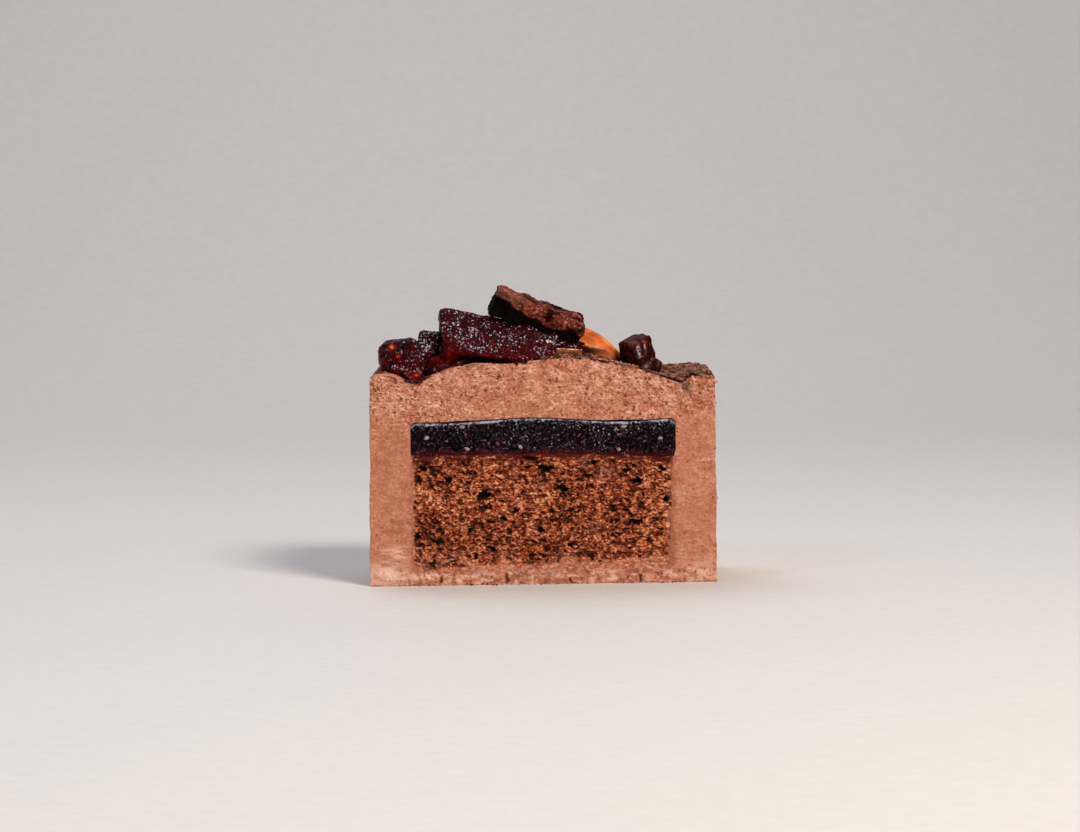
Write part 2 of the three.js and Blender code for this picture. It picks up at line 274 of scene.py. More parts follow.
def top_unevenness(x, y):
    """Slow waves and small lumps of the spooned top, in mm."""
    flat = triple(x, y, 0)
    return 0.22 * fractal(flat, 6, 61) + 0.1 * fractal(flat, 1.7, 62)


def uneven_top(x, y):
    """Height of the mousse with its unevenness."""
    return mousse_top(x, y) + top_unevenness(x, y)


def jelly_top(x):
    """The jelly layer's upper side is a slow wave."""
    return 40.3 + 0.5 * np.cos(2 * np.pi * (x + 3) / 44)


def sponge_top(x):
    """The sponge's upper side is a little domed and falls a little to the right."""
    return 31.8 - 0.012 * x + 0.7 * np.cos(np.pi * x / 64.8)


def on_cut(x, z, relief):
    """Points of the cut face in mm; relief stands out towards the viewer."""
    return triple(x, x * CUT - relief, z)


def wall_unevenness(points):
    """Outward swell of the mousse's upright walls in mm, from where it left the mould."""
    return 0.16 * fractal(points, 4, 71) + 0.12 * fractal(points, 1.2, 72)


# ------------------------------------------------------------------ mousse

COARSE = 3  # the walls and the top start on every third line of the cut face
COLUMNS = 420  # fine columns of the cut face
BELOW, BESIDE, ABOVE = 15, 186, 60  # fine rows below, beside and above the hole
HOLE_TOP = BELOW + BESIDE
ROWS = HOLE_TOP + ABOVE
HOLE_LEFT, HOLE_RIGHT = 54, COLUMNS - 54
COLUMN_STOPS = 0, HOLE_LEFT, HOLE_RIGHT, COLUMNS
ROW_STOPS = 0, BELOW, HOLE_TOP, ROWS
WALL_STEPS = 222  # steps along the outline
MIDDLE = COLUMNS // 2  # the column in which the rings of the top end
CRACKS = [(-25.4, 2.6), (-9.2, 3.2), (23.6, 2.4), (6.5, 1.6)]  # x and height of cracks in the foot
# Where the mousse stands off the jelly layer, as soft spots at z = 0 that depend on x alone.
GAPS = [(-20.5, 0, 4.5, 1, 0.3), (19, 0, 5, 1, 0.28)]


def hole_foot(x):
    """Lower edge of the hole that the sponge fills: ragged, and higher at both ends."""
    return 3.35 + 0.55 * noise(triple(x, 0, 0), 3.1, 81) + 2.0 * smooth(np.abs(x), 28.5, 32.5)


def hole_sides(z):
    """Left and right edge of the hole: the jelly's width above, and narrower towards the foot
    beside the sponge, with a ragged edge there."""
    sponge = smooth(z, 32.4, 31.0)
    ragged = 2 * noise(triple(0, 0, z), 2.3, 82)
    left = -32.45 + sponge * (0.25 + 0.5 * (1 - z / 31) + 0.22 * ragged)
    right = 32.45 - sponge * (0.6 + 1.6 * (1 - z / 31) + 0.22 * np.roll(ragged, 7, axis=-1))
    return left, right


def through(stops, share):
    """A value that runs evenly through four stops as the share goes from 0 to 3."""
    a, b, c, d = stops
    later = np.where(share < 2, b + (c - b) * (share - 1), c + (d - c) * (share - 2))
    return np.where(share < 1, a + (b - a) * share, later)


def row_heights(x, top):
    """Heights of the fine rows at x: even steps from the board to the hole's foot, from there to
    its upper edge, and from there to the top."""
    share = np.interp(np.arange(ROWS + 1)[None, :], ROW_STOPS, range(4))
    ceiling = jelly_top(x) + 0.16 + spots(x, 0, GAPS)
    return through([0, hole_foot(x), ceiling, top], share)


def round_hole(x, z):
    """Rounds the hole's upper corners, as the jelly's are: points of its border that lie outside
    the corner's circle are pulled in to it."""
    on_border = np.zeros(x.shape, bool)
    on_border[HOLE_LEFT : HOLE_RIGHT + 1, [BELOW, HOLE_TOP]] = True
    on_border[[HOLE_LEFT, HOLE_RIGHT], BELOW : HOLE_TOP + 1] = True
    radius = INSERT_CORNER
    for side, sign in ((HOLE_LEFT, 1), (HOLE_RIGHT, -1)):
        inward = np.abs(x - x[side, HOLE_TOP])
        down = z[side, HOLE_TOP] - z
        close = on_border & (inward < radius) & (down < radius) & (down > -0.5)
        reach = np.hypot(radius - inward, radius - down)
        pull = np.where(close & (reach > radius), radius / np.maximum(reach, 1e-6), 1)
        x = x + sign * (radius - inward) * (1 - pull)
        z = z - (radius - down) * (1 - pull)
    return x, z


def mousse_relief(x, z):
    """Relief of the cut mousse and the numbers that its colours follow: crumbly grains and cut
    bubbles near the top, crumbly curds and cracks in the foot, a knife-smoothed skin beside the
    insert."""
    flat = triple(x, 0, z)
    patches = noise(flat, 8, 91)
    upper = smooth(z + 2.5 * patches, 33.5, 45.0)
    rough = np.maximum(upper, 0.45 * smooth(z + patches, 5.5, 3.0))
    rough = np.clip(0.3 + 0.7 * rough + 0.12 * patches - 0.3 * spot(x, z, -4, 46, 12, 6), 0.25, 1)
    grain = fractal(flat, (0.6, 1, 0.44), 92, 2, 0.6)
    cloud = fractal(flat, (2.6, 1, 1.9), 90, 2)
    coarse = bubbles(flat + 0.25 * noise(flat, 0.9, 89)[..., None], 2.5, 94, 0.22, 0.5, 0.4)
    corner = spot(x, z, 36.5, 47.4, 4.2, 3.0) * bubbles(flat, 1.9, 95, 0.35, 0.7, 0.45)
    pits = np.maximum(coarse * rough, corner)
    curd = fractal(flat, (3.2, 1, 1.8), 93, 3, 0.55) * smooth(z, 4.6, 3.0)
    relief = (0.18 * grain + 0.22 * cloud) * rough + 0.25 * curd - 0.8 * pits
    # The colour follows the same grains, clouds and curds as the relief and is paler where they
    # stand out: partly the mousse's own grain, partly painted light and shade.
    shade = np.clip(0.6 * grain + 0.5 * cloud, -1, 1) * (0.35 + 0.65 * rough) + 0.9 * curd
    crack = 0
    for at, tall in CRACKS:
        away = x - at - 0.35 * noise(flat, 1.1, 96)
        crack = np.maximum(crack, np.exp(-((away / 0.36) ** 2)) * smooth(z, tall, 0.6 * tall))
    # Nothing of the relief is left along the foot, which stands flat.
    relief = (relief - 0.9 * crack) * smooth(z, -0.2, 0.8)
    # The third number is painted shade, dark in the bubbles' pits and in the cracks.
    return relief, shade, np.clip(pits / 0.3 + 1.1 * crack, 0, 1), rough


def mousse_marks(x, z, top_line):
    """What lies on the cut mousse, from 0 to 1: `smear` is paler mousse dragged by the knife and
    paler patches at the lower corners and on the foot, `cocoa` has fallen or been pressed on it,
    and `stain` has come off the sponge."""
    flat = triple(x, 0, z)
    wisp = fractal(flat * (0.45, 1, 1.6), 1.6, 97, 3)
    lumps = fractal(flat, (1.7, 1, 1.0), 99, 3, 0.6)
    smear = spot(x, z, -36.5, 7.9, 3.6, 1.5) * smooth(wisp, -0.5, 0.6)
    # Paler at the lower-left corner, on lumps along the foot and at the lower right corner.
    smear = np.maximum(smear, 0.85 * spot(x, z, -38.5, 3.0, 4.5, 3.6) * smooth(wisp, -1.0, 0.2))
    smear = np.maximum(smear, 0.6 * smooth(lumps, 0.05, 0.6) * smooth(z, 4.4, 2.4))
    smear = np.maximum(smear, 0.4 * spot(x, z, 39, 4, 3, 1.2) * smooth(wisp, 0, 0.7))
    smudge = spot(x, z, 35.2, 48.3, 1.2, 1.8) * smooth(wisp, -1.0, -0.2)
    crust = smooth(top_line[:, None] - z + 0.3 * wisp, 0.4, 0.1) * smooth(x + 6 * wisp, 2, 16)
    smudge = np.maximum(smudge, (0.85 - 0.4 * smooth(x, 19, 24)) * crust)
    from_hole = np.maximum(np.abs(x) - 31.6, 0) + np.maximum(4.2 - z, 0)
    blotch = fractal(flat, (3.4, 1, 1.6), 98, 3, 0.6)
    beside = smooth(z, 32, 30.5) * smooth(from_hole + 0.8 * blotch, 1.3, 0.1)
    under = smooth(z, 4.6, 2.8) * smooth(np.abs(x), 33, 30) * smooth(blotch, 0.1, 0.7)
    return {"smear": smear, "cocoa": smudge, "stain": 0.7 * np.maximum(beside, 0.8 * under)}


def mousse_walls():
    """The mould's outline seen from above, as even steps along the left wall, the back and the
    right wall, and the grid of the walls over it, which lean in and swell a little."""
    arc = np.linspace(0, np.pi / 2, 41)
    inner = HALF - CORNER
    cosine, sine = CORNER * np.cos(arc), CORNER * np.sin(arc)
    path_x = np.concatenate([[-HALF], -inner - cosine, inner + sine, [HALF]])
    path_y = np.concatenate([[-HALF * CUT], inner + sine, inner + cosine, [HALF * CUT]])
    run = np.concatenate([[0], np.cumsum(np.hypot(np.diff(path_x), np.diff(path_y)))])
    steps = np.linspace(0, run[-1], WALL_STEPS + 1)
    x, y = np.interp(steps, run, path_x), np.interp(steps, run, path_y)
    along_x, along_y = np.gradient(x), np.gradient(y)
    length = np.hypot(along_x, along_y)
    x, y, length = x[:, None], y[:, None], length[:, None]
    z = row_heights(x, uneven_top(x, y))[:, ::COARSE]
    lean = 1 - DRAFT / HALF * z / RIM
    walls = triple(x * lean, y * lean, z)
    swell = wall_unevenness(walls)
    walls[..., 0] += -along_y[:, None] / length * swell
    walls[..., 1] += along_x[:, None] / length * swell
    return x, y, walls


def seam(fine, coarse, turned_over):
    """Six-cornered faces between a fine line and a coarse one, of a third as many steps."""
    parts = [fine[:-1:3], fine[1::3], fine[2::3], fine[3::3], coarse[1:], coarse[:-1]]
    hexagons = np.stack(parts, axis=1)
    return hexagons[:, ::-1] if turned_over else hexagons


def mousse_skin(face, walls, fan):
    """Faces of the mousse's skin, but for its hole, from the point numbers of its three grids: the
    cut face, the walls (along the outline, upwards) and the fan (along the outline, inwards). The
    lines that two grids share are given the same numbers first."""
    left_top, right_top = face[: MIDDLE + 1, -1], face[: MIDDLE - 1 : -1, -1]
    middle = face[MIDDLE, -1]
    walls[0], walls[-1] = face[0, ::COARSE], face[-1, ::COARSE]
    fan[:, 0] = walls[:, -1]
    fan[0], fan[-1] = left_top[::COARSE], right_top[::COARSE]
    fan[:, -1] = middle
    solid = np.ones((COLUMNS, ROWS), bool)
    solid[HOLE_LEFT:HOLE_RIGHT, BELOW:HOLE_TOP] = False
    return [
        seam(face[0], walls[1], False),
        seam(face[-1], walls[-2], True),
        grid_faces(walls[1:-1]),
        seam(left_top[:-3], fan[1, :-1], False),
        seam(right_top[:-3], fan[-2, :-1], True),
        grid_faces(fan[1:-1, :-1]),
        np.stack([fan[1:-2, -2], np.full(WALL_STEPS - 2, middle), fan[2:-1, -2]], axis=1),
        np.array([[*left_top[-4:], fan[1, -2]]]),
        np.array([[fan[-2, -2], *right_top[:-5:-1]]]),
        np.array([[*walls[:, 0], *face[-2:0:-1, 0]]]),
        grid_faces(face)[solid.ravel()][:, ::-1],
    ]


def mousse_shell():
    """The block of mousse as one closed skin. The cut face is a fine grid of columns and rows,
    with a hole where the insert runs through. The walls are a coarser grid along the outline and
    up, and the top is a fan of rings from the outline to the middle of the cut. Both start on
    every third line of the cut face, joined to it by faces that hold the lines between."""
    level = np.interp(np.arange(ROWS + 1)[None, :], ROW_STOPS, [0, 3.4, 40.7, 51])
    wall = HALF - DRAFT * level / RIM
    share = np.interp(np.arange(COLUMNS + 1)[:, None], COLUMN_STOPS, range(4))
    x = through([-wall, *hole_sides(level), wall], share)
    edge_x, edge_y = x[:, -1], x[:, -1] * CUT
    top_line = mousse_top(edge_x / LEAN, edge_y) + top_unevenness(edge_x, edge_y)
    x, z = round_hole(x, row_heights(x, top_line[:, None]))
    relief, grain, pits, rough = mousse_relief(x, z)
    to_wall = smooth(HALF - np.abs(x), 2.5, 0.0)
    x = x + np.sign(x) * to_wall * wall_unevenness(on_cut(x, z, 0))
    front = on_cut(x, z, relief).reshape(-1, 3)

    outline_x, outline_y, walls = mousse_walls()
    # Each ring of the fan starts and ends on a line of the cut's top edge.
    inwards = 1 - np.abs(x[: MIDDLE + 1 : COARSE, -1]) / np.abs(x[0, -1])
    fan_x = outline_x * LEAN * (1 - inwards)
    fan_y = outline_y * LEAN * (1 - inwards)
    fan_z = mousse_top(fan_x / LEAN, fan_y / LEAN) + top_unevenness(fan_x, fan_y)
    fan = triple(fan_x, fan_y, fan_z)
    fan[:, 0] = walls[:, -1]

    grids, first = [], 0
    for shape in (x.shape, walls.shape[:2], fan.shape[:2]):
        grids.append(first + np.arange(shape[0] * shape[1]).reshape(shape))
        first += shape[0] * shape[1]
    face, fan_first = grids[0], grids[2][0, 0]
    faces = mousse_skin(*grids)
    # The hole runs back through the cake to the wall behind the insert.
    loop = border_of(face[HOLE_LEFT : HOLE_RIGHT + 1, BELOW : HOLE_TOP + 1])
    rear, closing = carried_back(front, loop, first, INSERT + 0.3)
    faces += [np.roll(f[:, ::-1], 1, axis=1) for f in closing]
    points = np.concatenate([front, walls.reshape(-1, 3), fan.reshape(-1, 3), rear])

    attributes = {"grain": grain, "pit": pits, **mousse_marks(x, z, top_line)}
    attributes = {key: with_rear(value, points) for key, value in attributes.items()}
    attributes["rough"] = with_rear(rough, points, 0.22)
    # The top under the sifted cocoa is dusted too, but for a strip along the cut at the left.
    on_top = slice(fan_first, first)
    x, y, _ = points[on_top].T
    dust = smooth(y - x * CUT, 7, 10)
    attributes["cocoa"][on_top] = 0.85 * np.maximum(dust, smooth(x, 6, 14))
    return points, faces, attributes


# ------------------------------------------------------------------ jelly layer and sponge

UNDERLAP = 0.35  # the sponge's cut reaches this far behind the edge of the mousse

# The sponge's larger open cells in the cut: x, z, width and height.
OPEN_CELLS = [
    (0.4, 28.3, 3.7, 2.0), (-14.6, 21.9, 3.5, 2.2), (-3.5, 31.1, 3.4, 0.9),
    (-23.4, 25.7, 2.0, 1.7), (-29.4, 28.7, 2.2, 1.5), (5.0, 23.4, 1.9, 1.9),
    (22.7, 25.1, 2.6, 1.6), (22.6, 15.0, 3.2, 1.6), (29.1, 28.0, 1.8, 1.6),
    (-7.0, 18.1, 1.5, 1.2), (-9.7, 16.2, 1.4, 1.1), (-18.3, 13.3, 1.5, 1.2),
    (-0.9, 13.3, 1.6, 1.3), (-27.4, 5.1, 1.8, 1.3), (20.2, 27.8, 2.6, 0.8),
    (12.2, 29.8, 1.4, 1.0), (-31.0, 12.0, 1.2, 1.3), (29.9, 20.6, 1.6, 1.4),
    (6.2, 9.3, 1.3, 1.0), (-12.6, 8.8, 1.1, 0.9),
]

# Places where mousse is wiped thinly over the sponge: x, z and reach.
WIPED = [
    (-1.3, 25.2, 1.6), (15.6, 27.4, 2.4), (11.9, 13.7, 1.7), (10.2, 29.8, 1.8), (-7, 27, 1.3),
]


def dragged_mousse(flat, z, border, crumb, pores):
    """Mousse that the knife dragged over the sponge, from 0 to 1: where it covers the foot, up to
    a wavy line, and how much of it shows in all, with a soft border round the hole."""
    drag = fractal(flat, (5.5, 1, 2.2), 108, 2)
    wide = 1 + (1.2 + 1.6 * drag) * smooth(z, 7.5, 3.5)
    blend = smooth(border / np.maximum(wide, 0.5) + 0.5 * crumb + 0.5 * pores, 1.0, -0.35)
    wash = smooth(z, 9.5, 4.5) * smooth(drag, -0.25, 0.5) * smooth(crumb, -0.7, 0.4)
    x = flat[..., 0]
    line = 5.2 + noise(triple(x, 0, 0), 4.5, 110) + 0.9 * drag - 2.0 * smooth(-x, 24.5, 26.5)
    covered = smooth(z + 0.6 * crumb + 0.5 * pores, line + 0.9, line - 0.5)
    return covered, np.maximum(np.maximum(blend, 0.7 * wash), 0.95 * covered)


def sponge_face():
    """The cut sponge: a grid whose relief joins round granules, a finer crumb, stretched open
    pores and the larger open cells, each an oval pit with a ragged border. Its colours follow
    `relief`, the crumb's tone with painted light on its raised crumb and painted shade in its gaps,
    pores and open cells, then each granule's own number, `blend` and `soft` for the mousse that
    was dragged and wiped over it, and `stain` for the jelly that soaked into its top."""
    u, v = unit_grid(372, 168)
    left, right = hole_sides(3.2 + 28.6 * v)
    x = left - UNDERLAP + (right - left + 2 * UNDERLAP) * u
    foot = hole_foot(x) - 0.3
    z = foot + (sponge_top(x) + UNDERLAP - foot) * v
    flat = triple(x, 0, z)
    drift = triple(noise(flat, 1.3, 101), 0, noise(flat, 1.3, 102))
    moved = flat + 0.35 * drift
    near, next_near, mark = cells(moved * (0.8, 1, 1.15), 0.74, 103)
    crumb = fractal(moved, (0.84, 1, 0.54), 105, 3, 0.65)
    pores = fractal(moved, (1.7, 1, 1.2), 106, 3, 0.55)
    open_pore = smooth(pores + 0.3 * crumb, 0.5, 0.9)
    gully = smooth(next_near - near, 0.3, 0.02) * smooth(crumb, 0.6, -0.4)
    holes = 0
    for hole_x, hole_z, width, height in OPEN_CELLS:
        away = np.hypot((x - hole_x) / (width / 2), (z - hole_z) / (height / 2)) + 0.42 * crumb
        holes = np.maximum(holes, smooth(away, 1.25, 0.55))
    skin = 1 - 0.75 * smooth(sponge_top(x) - z, 2.6, 0.9)
    height = 0.18 * crumb - 0.18 * gully * skin - 0.15 * (near / 0.5) ** 2 * skin
    relief = -0.16 + height - 0.7 * open_pore * skin - 1.3 * holes
    border = np.minimum(np.minimum(x - left, right - x), z - hole_foot(x))
    relief = relief * smooth(border, -0.35, 0.5) - 0.25 * smooth(border, 0.05, -0.3)
    covered, blend = dragged_mousse(flat, z, border, crumb, pores)
    relief = relief * (1 - 0.6 * covered)
    streaks = fractal(flat, (2.6, 1, 0.5), 109, 3, 0.6)
    stain = smooth(sponge_top(x) - z + 0.6 * streaks, 2.8, 0.5)
    stain = stain * (0.4 + 0.6 * smooth(streaks, 0.6, 0.0))
    # Painted light and shade: paler on the raised crumb, darker in its gaps, darkest in the open
    # pores and cells.
    shade = 0.6 + 0.19 * crumb - 0.18 * gully * skin - 0.4 * open_pore * skin - 0.8 * holes
    shade = shade + 0.12 * covered - 0.45 * stain * smooth(streaks, 0.5, -0.2)
    shade = shade + 0.2 * (mark - 0.5) + 0.1 * fractal(flat, 7, 107, 2)
    soft = 0
    for at_x, at_z, reach in WIPED:
        soft = np.maximum(soft, spot(x, z, at_x, at_z, reach, 0.8 * reach))
    return slab(
        on_cut(x, z, relief), relief=shade, granule=mark, blend=blend, stain=stain,
        soft=soft * smooth(crumb, -0.7, 0.2),
    )


def jelly_face():
    """The cut jelly: a grid with a rounded upper edge and upper corners, and a fine pebbled
    relief that breaks its gloss. `glint` says where glints are painted thick, `edge` is a highlight
    painted along its upper edge, and `maroon` where it thins out over the sponge."""
    edge_radius = 0.55
    u, v = unit_grid(400, 60)
    x = INSERT * (2 * u - 1) + 0 * v
    bottom = sponge_top(x) - 0.1 + 0.18 * noise(triple(x, 0, 0), 2.6, 112)
    top = jelly_top(x) - edge_drop(INSERT - np.abs(x), INSERT_CORNER)
    z = bottom + (top - bottom) * (1 - (1 - v) ** 1.15)
    flat = triple(x, 0, z)
    pebble, _, _ = cells(flat, 0.8, 113)
    dimples = fractal(flat, 1.3, 114, 3, 0.6)
    relief = 0.1 + 0.05 * (1 - (pebble / 0.5) ** 2) + 0.05 * dimples
    to_edge = np.minimum(top - z, INSERT - np.abs(x) + 0.02)
    relief = relief - edge_drop(to_edge, edge_radius) * 0.9
    # A highlight painted along the upper edge.
    edge = smooth(top - z + 0.35 * dimples, 0.6, 0.2) * smooth(top - z, 0.0, 0.1)
    maroon = smooth(z - bottom + 1.3 * dimples, 1.5, -0.2)
    maroon = maroon * (0.7 + 0.3 * smooth(dimples, -0.2, 0.4))
    drift = fractal(flat, (7, 1, 3), 115, 2)
    glint = 0.42 + 0.2 * drift + 0.16 * smooth(top - z, 2.6, 0.6) - 0.2 * maroon
    return slab(on_cut(x, z, relief), edge=edge, maroon=maroon, glint=np.clip(glint, 0, 1))


# ------------------------------------------------------------------ cocoa dusting


def cocoa_thickness(x, y):
    """Thickness of the sifted cocoa in mm, and its lumps less a shade painted dark in the groove.
    It is thicker on the rim at the right, and there is none (it is below nought) along the cut at
    the left and at the outer edge."""
    flat = triple(x, y, 0)
    behind = y - x * CUT
    lumps = fractal(flat, 1.3, 121, 4, 0.7)
    clumps, _, _ = cells(flat, 0.9, 122)
    inset = inset_from(x, y, HALF, CORNER)
    much = smooth(x, 12, 30) * smooth(inset, 14, 6)
    thick = 0.22 + 0.25 * much + (0.16 + 0.15 * much) * lumps
    thick = thick + (0.1 + 0.12 * much) * (1 - (clumps / 0.6) ** 2)
    bare = smooth(x + 5 * lumps, 9, 1) * smooth(behind + 2 * lumps, 9, 5)
    bare = np.maximum(bare, smooth(inset, 0.9, 0.2))
    # Painted shade: the cocoa in the groove at the right is darkened.
    groove_shade = 2.4 * spot(x, behind, 31.5, 1.5, 4.5, 3.5)
    return thick * smooth(inset, 0.15, 1.6) * (1 - bare) - 0.3 * bare, lumps - groove_shade


def cocoa_sheet():
    """The sifted cocoa on the top: a closed sheet over the mousse from the cut to the back. Its
    upper side is the mousse's height plus a lumpy thickness that thins out at the outer edge, and
    its lower side lies a little under the mousse's skin."""
    columns, rows = 300, 150
    u = np.linspace(-1, 1, columns + 1)[:, None]
    v = np.linspace(0, 1, rows + 1)[None, :]
    reach = HALF * 0.993
    inner = HALF - CORNER
    depth = reach * v
    bend = np.sqrt(np.maximum((reach - inner) ** 2 - (depth - inner) ** 2, 0))
    x = u * np.where(depth < inner, reach, inner + bend)
    y = depth + (1 - v) * x * CUT
    thick, lumps = cocoa_thickness(x, y)
    bed = uneven_top(x, y)
    top = triple(x, y, bed + thick).reshape(-1, 3)
    under = triple(x, y + 0.12 * (1 - v), bed - 0.35).reshape(-1, 3)
    upper = np.arange(len(top)).reshape(x.shape)
    lower = upper + len(top)
    border, below = border_of(upper), border_of(lower)
    sides = np.stack([border, below, np.roll(below, -1), np.roll(border, -1)], axis=1)
    faces = [grid_faces(upper)[:, ::-1], grid_faces(lower), sides]
    return np.concatenate([top, under]), faces, {"lump_and_shade": np.tile(np.ravel(lumps), 2)}


# ------------------------------------------------------------------ pieces on top


class Block(NamedTuple):
    """A rounded, uneven block: its size, its middle, its angles about x, y and z in degrees, the
    radius of its edges, the height and length of its slow unevenness and the seed of it. Its left
    end may lean over, and the upper edge of its right end may be lifted."""

    size: tuple
    at: tuple
    angles: tuple
    edge: float
    uneven: float
    wavelength: float
    seed: int
    lean: float = 0.0
    lift: float = 0.0


JELLY_BAR = Block(
    (28.4, 11, 10.1), (-11.2, 6.8, 59.4), (-12, 9.4, 2.5), 1.1, 0.26, 5, 21, lean=1.3, lift=0.7
)
JELLY_LUMP = [
    Block((11.2, 10, 8.2), (-35.2, 10.8, 55.6), (0, -7, 9), 3.6, 0.35, 6, 31),
    Block((8.6, 8, 5.6), (-33.6, 8.8, 53.4), (0, 22, 12), 1.1, 0.25, 5, 34),
    Block((5.2, 9, 10.8), (-28.2, 10.5, 56.2), (0, 6, -8), 1, 0.25, 5, 32),
    Block((8.4, 8.5, 4.6), (-24.4, 7.6, 54.6), (0, -24, 10), 1.2, 0.25, 5, 33),
]
JELLY_SCRAP = Block((7.8, 4.6, 1.9), (6.4, 6.0, 58.7), (0, 10, 4), 0.6, 0.16, 3, 71)
BROWNIE = Block((22.8, 10.5, 5.4), (-1.4, 6.6, 65.9), (10, 21, 6), 0.6, 0.4, 4.2, 41)
CARAMEL = Block((6.6, 5.4, 2.7), (6.1, 6.2, 56.3), (0, 3, 6), 0.35, 0.08, 4, 61)
CHUNK = [
    Block((6.6, 6, 8.6), (23.4, 8.8, 55.8), (0, -19, 32), 1, 0.3, 5, 51),
    Block((4, 4.4, 4.2), (26.7, 9.4, 52.9), (0, 24, 20), 0.8, 0.2, 4, 52),
]
ALMOND_HALF = 10.75, 6, 4.5  # half its length, width and thickness
ALMOND_AT, ALMOND_ANGLES = (9.9, 15.2, 57.6), (0, 17, -24)


def uneven_field(seed, wavelength):
    """The solids' own slow unevenness: six sine waves in random directions, from the same
    seeded numbers, so that each dressed piece swells where its solid does."""
    state = seed

    def draw():
        nonlocal state
        state = (state + 0x6D2B79F5) & LOW_BITS
        t = ((state ^ (state >> 15)) * (state | 1)) & LOW_BITS
        t ^= (t + (t ^ (t >> 7)) * (t | 61)) & LOW_BITS
        return ((t ^ (t >> 14)) & LOW_BITS) / (LOW_BITS + 1)

    waves = []
    for _ in range(6):
        direction = np.array([draw() - 0.5, draw() - 0.5, draw() - 0.5])
        length = wavelength * (0.6 + 0.9 * draw())
        direction = direction / np.linalg.norm(direction) * 2 * np.pi / length
        waves.append((direction, 2 * np.pi * draw()))
    return lambda p: 0.3 * sum(np.sin(p @ direction + phase) for direction, phase in waves)


def turned(points, angles, at=(0, 0, 0)):
    """Turns points about x, y and z by the angles in degrees and moves them to their place."""
    about_x, about_y, about_z = (
        Matrix.Rotation(math.radians(angle), 3, axis) for angle, axis in zip(angles, "XYZ")
    )
    return points @ np.array(about_z @ about_y @ about_x).T + np.array(at)


def box_grid(size, step):
    """Points on the skin of a box, about its middle, on six grids of about the step, with shared
    edges merged."""
    counts = [max(2, round(length / step)) for length in size]
    points, faces, first = [], [], 0
    for axis in range(3):
        across, along = (axis + 1) % 3, (axis + 2) % 3
        for sign in (-1, 1):
            a = np.linspace(-0.5, 0.5, counts[across] + 1)
            b = np.linspace(-0.5, 0.5, counts[along] + 1)
            grid = np.empty((len(a), len(b), 3))
            grid[..., axis] = sign / 2
            grid[..., across], grid[..., along] = a[:, None], b[None, :]
            quads = grid_faces(first + np.arange(len(a) * len(b)).reshape(len(a), len(b)))
            faces.append(quads if sign < 0 else quads[:, ::-1])
            points.append(grid.reshape(-1, 3) * size)
            first += len(a) * len(b)
    points = np.concatenate(points)
    keys = np.round(points * 1000 + 0.137)  # thousandths of a mm, kept off the halves
    _, kept, merged = np.unique(keys, axis=0, return_index=True, return_inverse=True)
    return points[kept], [merged.ravel()[np.concatenate(faces)]]


def rounded_block(block, step, relief):
    """A block with rounded edges and an uneven skin: points of a box are pulled onto the rounded
    box, then moved out along its normal by the slow unevenness and the piece's fine relief.
    Returns the points in place, the faces, the points before turning and the outward normals."""
    size = np.array(block.size, float)
    box, faces = box_grid(size, step)
    core = np.clip(box, -size / 2 + block.edge, size / 2 - block.edge)
    out = box - core
    out /= np.linalg.norm(out, axis=1, keepdims=True)
    swell = block.edge + block.uneven * uneven_field(block.seed, block.wavelength)(box)
    points = core + out * (swell + relief(box, out))[:, None]
    across, up = box[:, 0] / size[0] * 2, box[:, 2] / size[2] * 2
    points[:, 0] -= block.lean * up * smooth(-across, 0.3, 1)
    points[:, 2] += block.lift * smooth(across, -0.2, 1) * (up + 1) / 2
    return turned(points, block.angles, block.at), faces, box, out


def joined(parts):
    """Several shells as one list of points and faces."""
    first, points, faces = 0, [], []
    for part_points, part_faces in parts:
        points.append(part_points)
        faces += [f + first for f in part_faces]
        first += len(part_points)
    return np.concatenate(points), faces


def pebbled(seed):
    """The skin of boiled fruit jelly: round pebbles about 1 mm apart, with finer ones half as far
    apart between them and slow dents."""

    def relief(box, out):
        pebble, _, _ = cells(box, 0.95, seed)
        fine, _, _ = cells(box, 0.5, seed + 7)
        rounds = 0.13 * (1 - (pebble / 0.6) ** 2) + 0.06 * (1 - (fine / 0.3) ** 2)
        return rounds + 0.1 * fractal(box, 2.6, seed + 9) - 0.06

    return relief


def crust_share(box):
    """1 on the brownie's crust, 0 on its cut sides: the upper part with a wavy border, which
    hangs down past the middle and stays high at the left end."""
    wave = 0.8 * fractal(box * (1, 1, 0.2), 3.0, 135, 3)
    drape = 1.2 * spot(box[:, 0], 0, 3, 0, 6, 1) - 1.1 * smooth(-box[:, 0], 2, 9)
    return smooth(box[:, 2] + wave + drape, 0.1, 0.7)


def brownie_skin(box, out):
    """Brownie: a crackled crust that stands over the crumb at its edge, and a crumbly cut side.
    Its left end sags on the jelly bar."""
    crust = crust_share(box)
    crumbs, _, _ = cells(box, 1.1, 131)
    plates, plate_next, _ = cells(box, 2.3, 132)
    cracks = smooth(plate_next - plates, 0.35, 0.02)
    side = 0.1 * fractal(box, 1.2, 133, 4, 0.65) - 0.12 * (crumbs / 0.7) ** 2 - 0.1
    lumps = 0.12 * fractal(box, 2.4, 134, 4, 0.6)
    sag = 0.9 * smooth(-box[:, 0], 2.5, 8) * smooth(-out[:, 2], 0.2, 0.9)
    return (1 - crust) * side + crust * (0.16 - 0.2 * cracks + lumps) + sag


def caramel_skin(box, out):
    """Caramel: faint slow dents."""
    return 0.05 * fractal(box, 1.4, 201)


def broken_skin(box, out):
    """Broken chocolate: broad shell-like facets with ridges between them."""
    near, _, _ = cells(box, 2.6, 211)
    return 0.2 * (near - 1.0) + 0.06 * fractal(box, 1.6, 212)


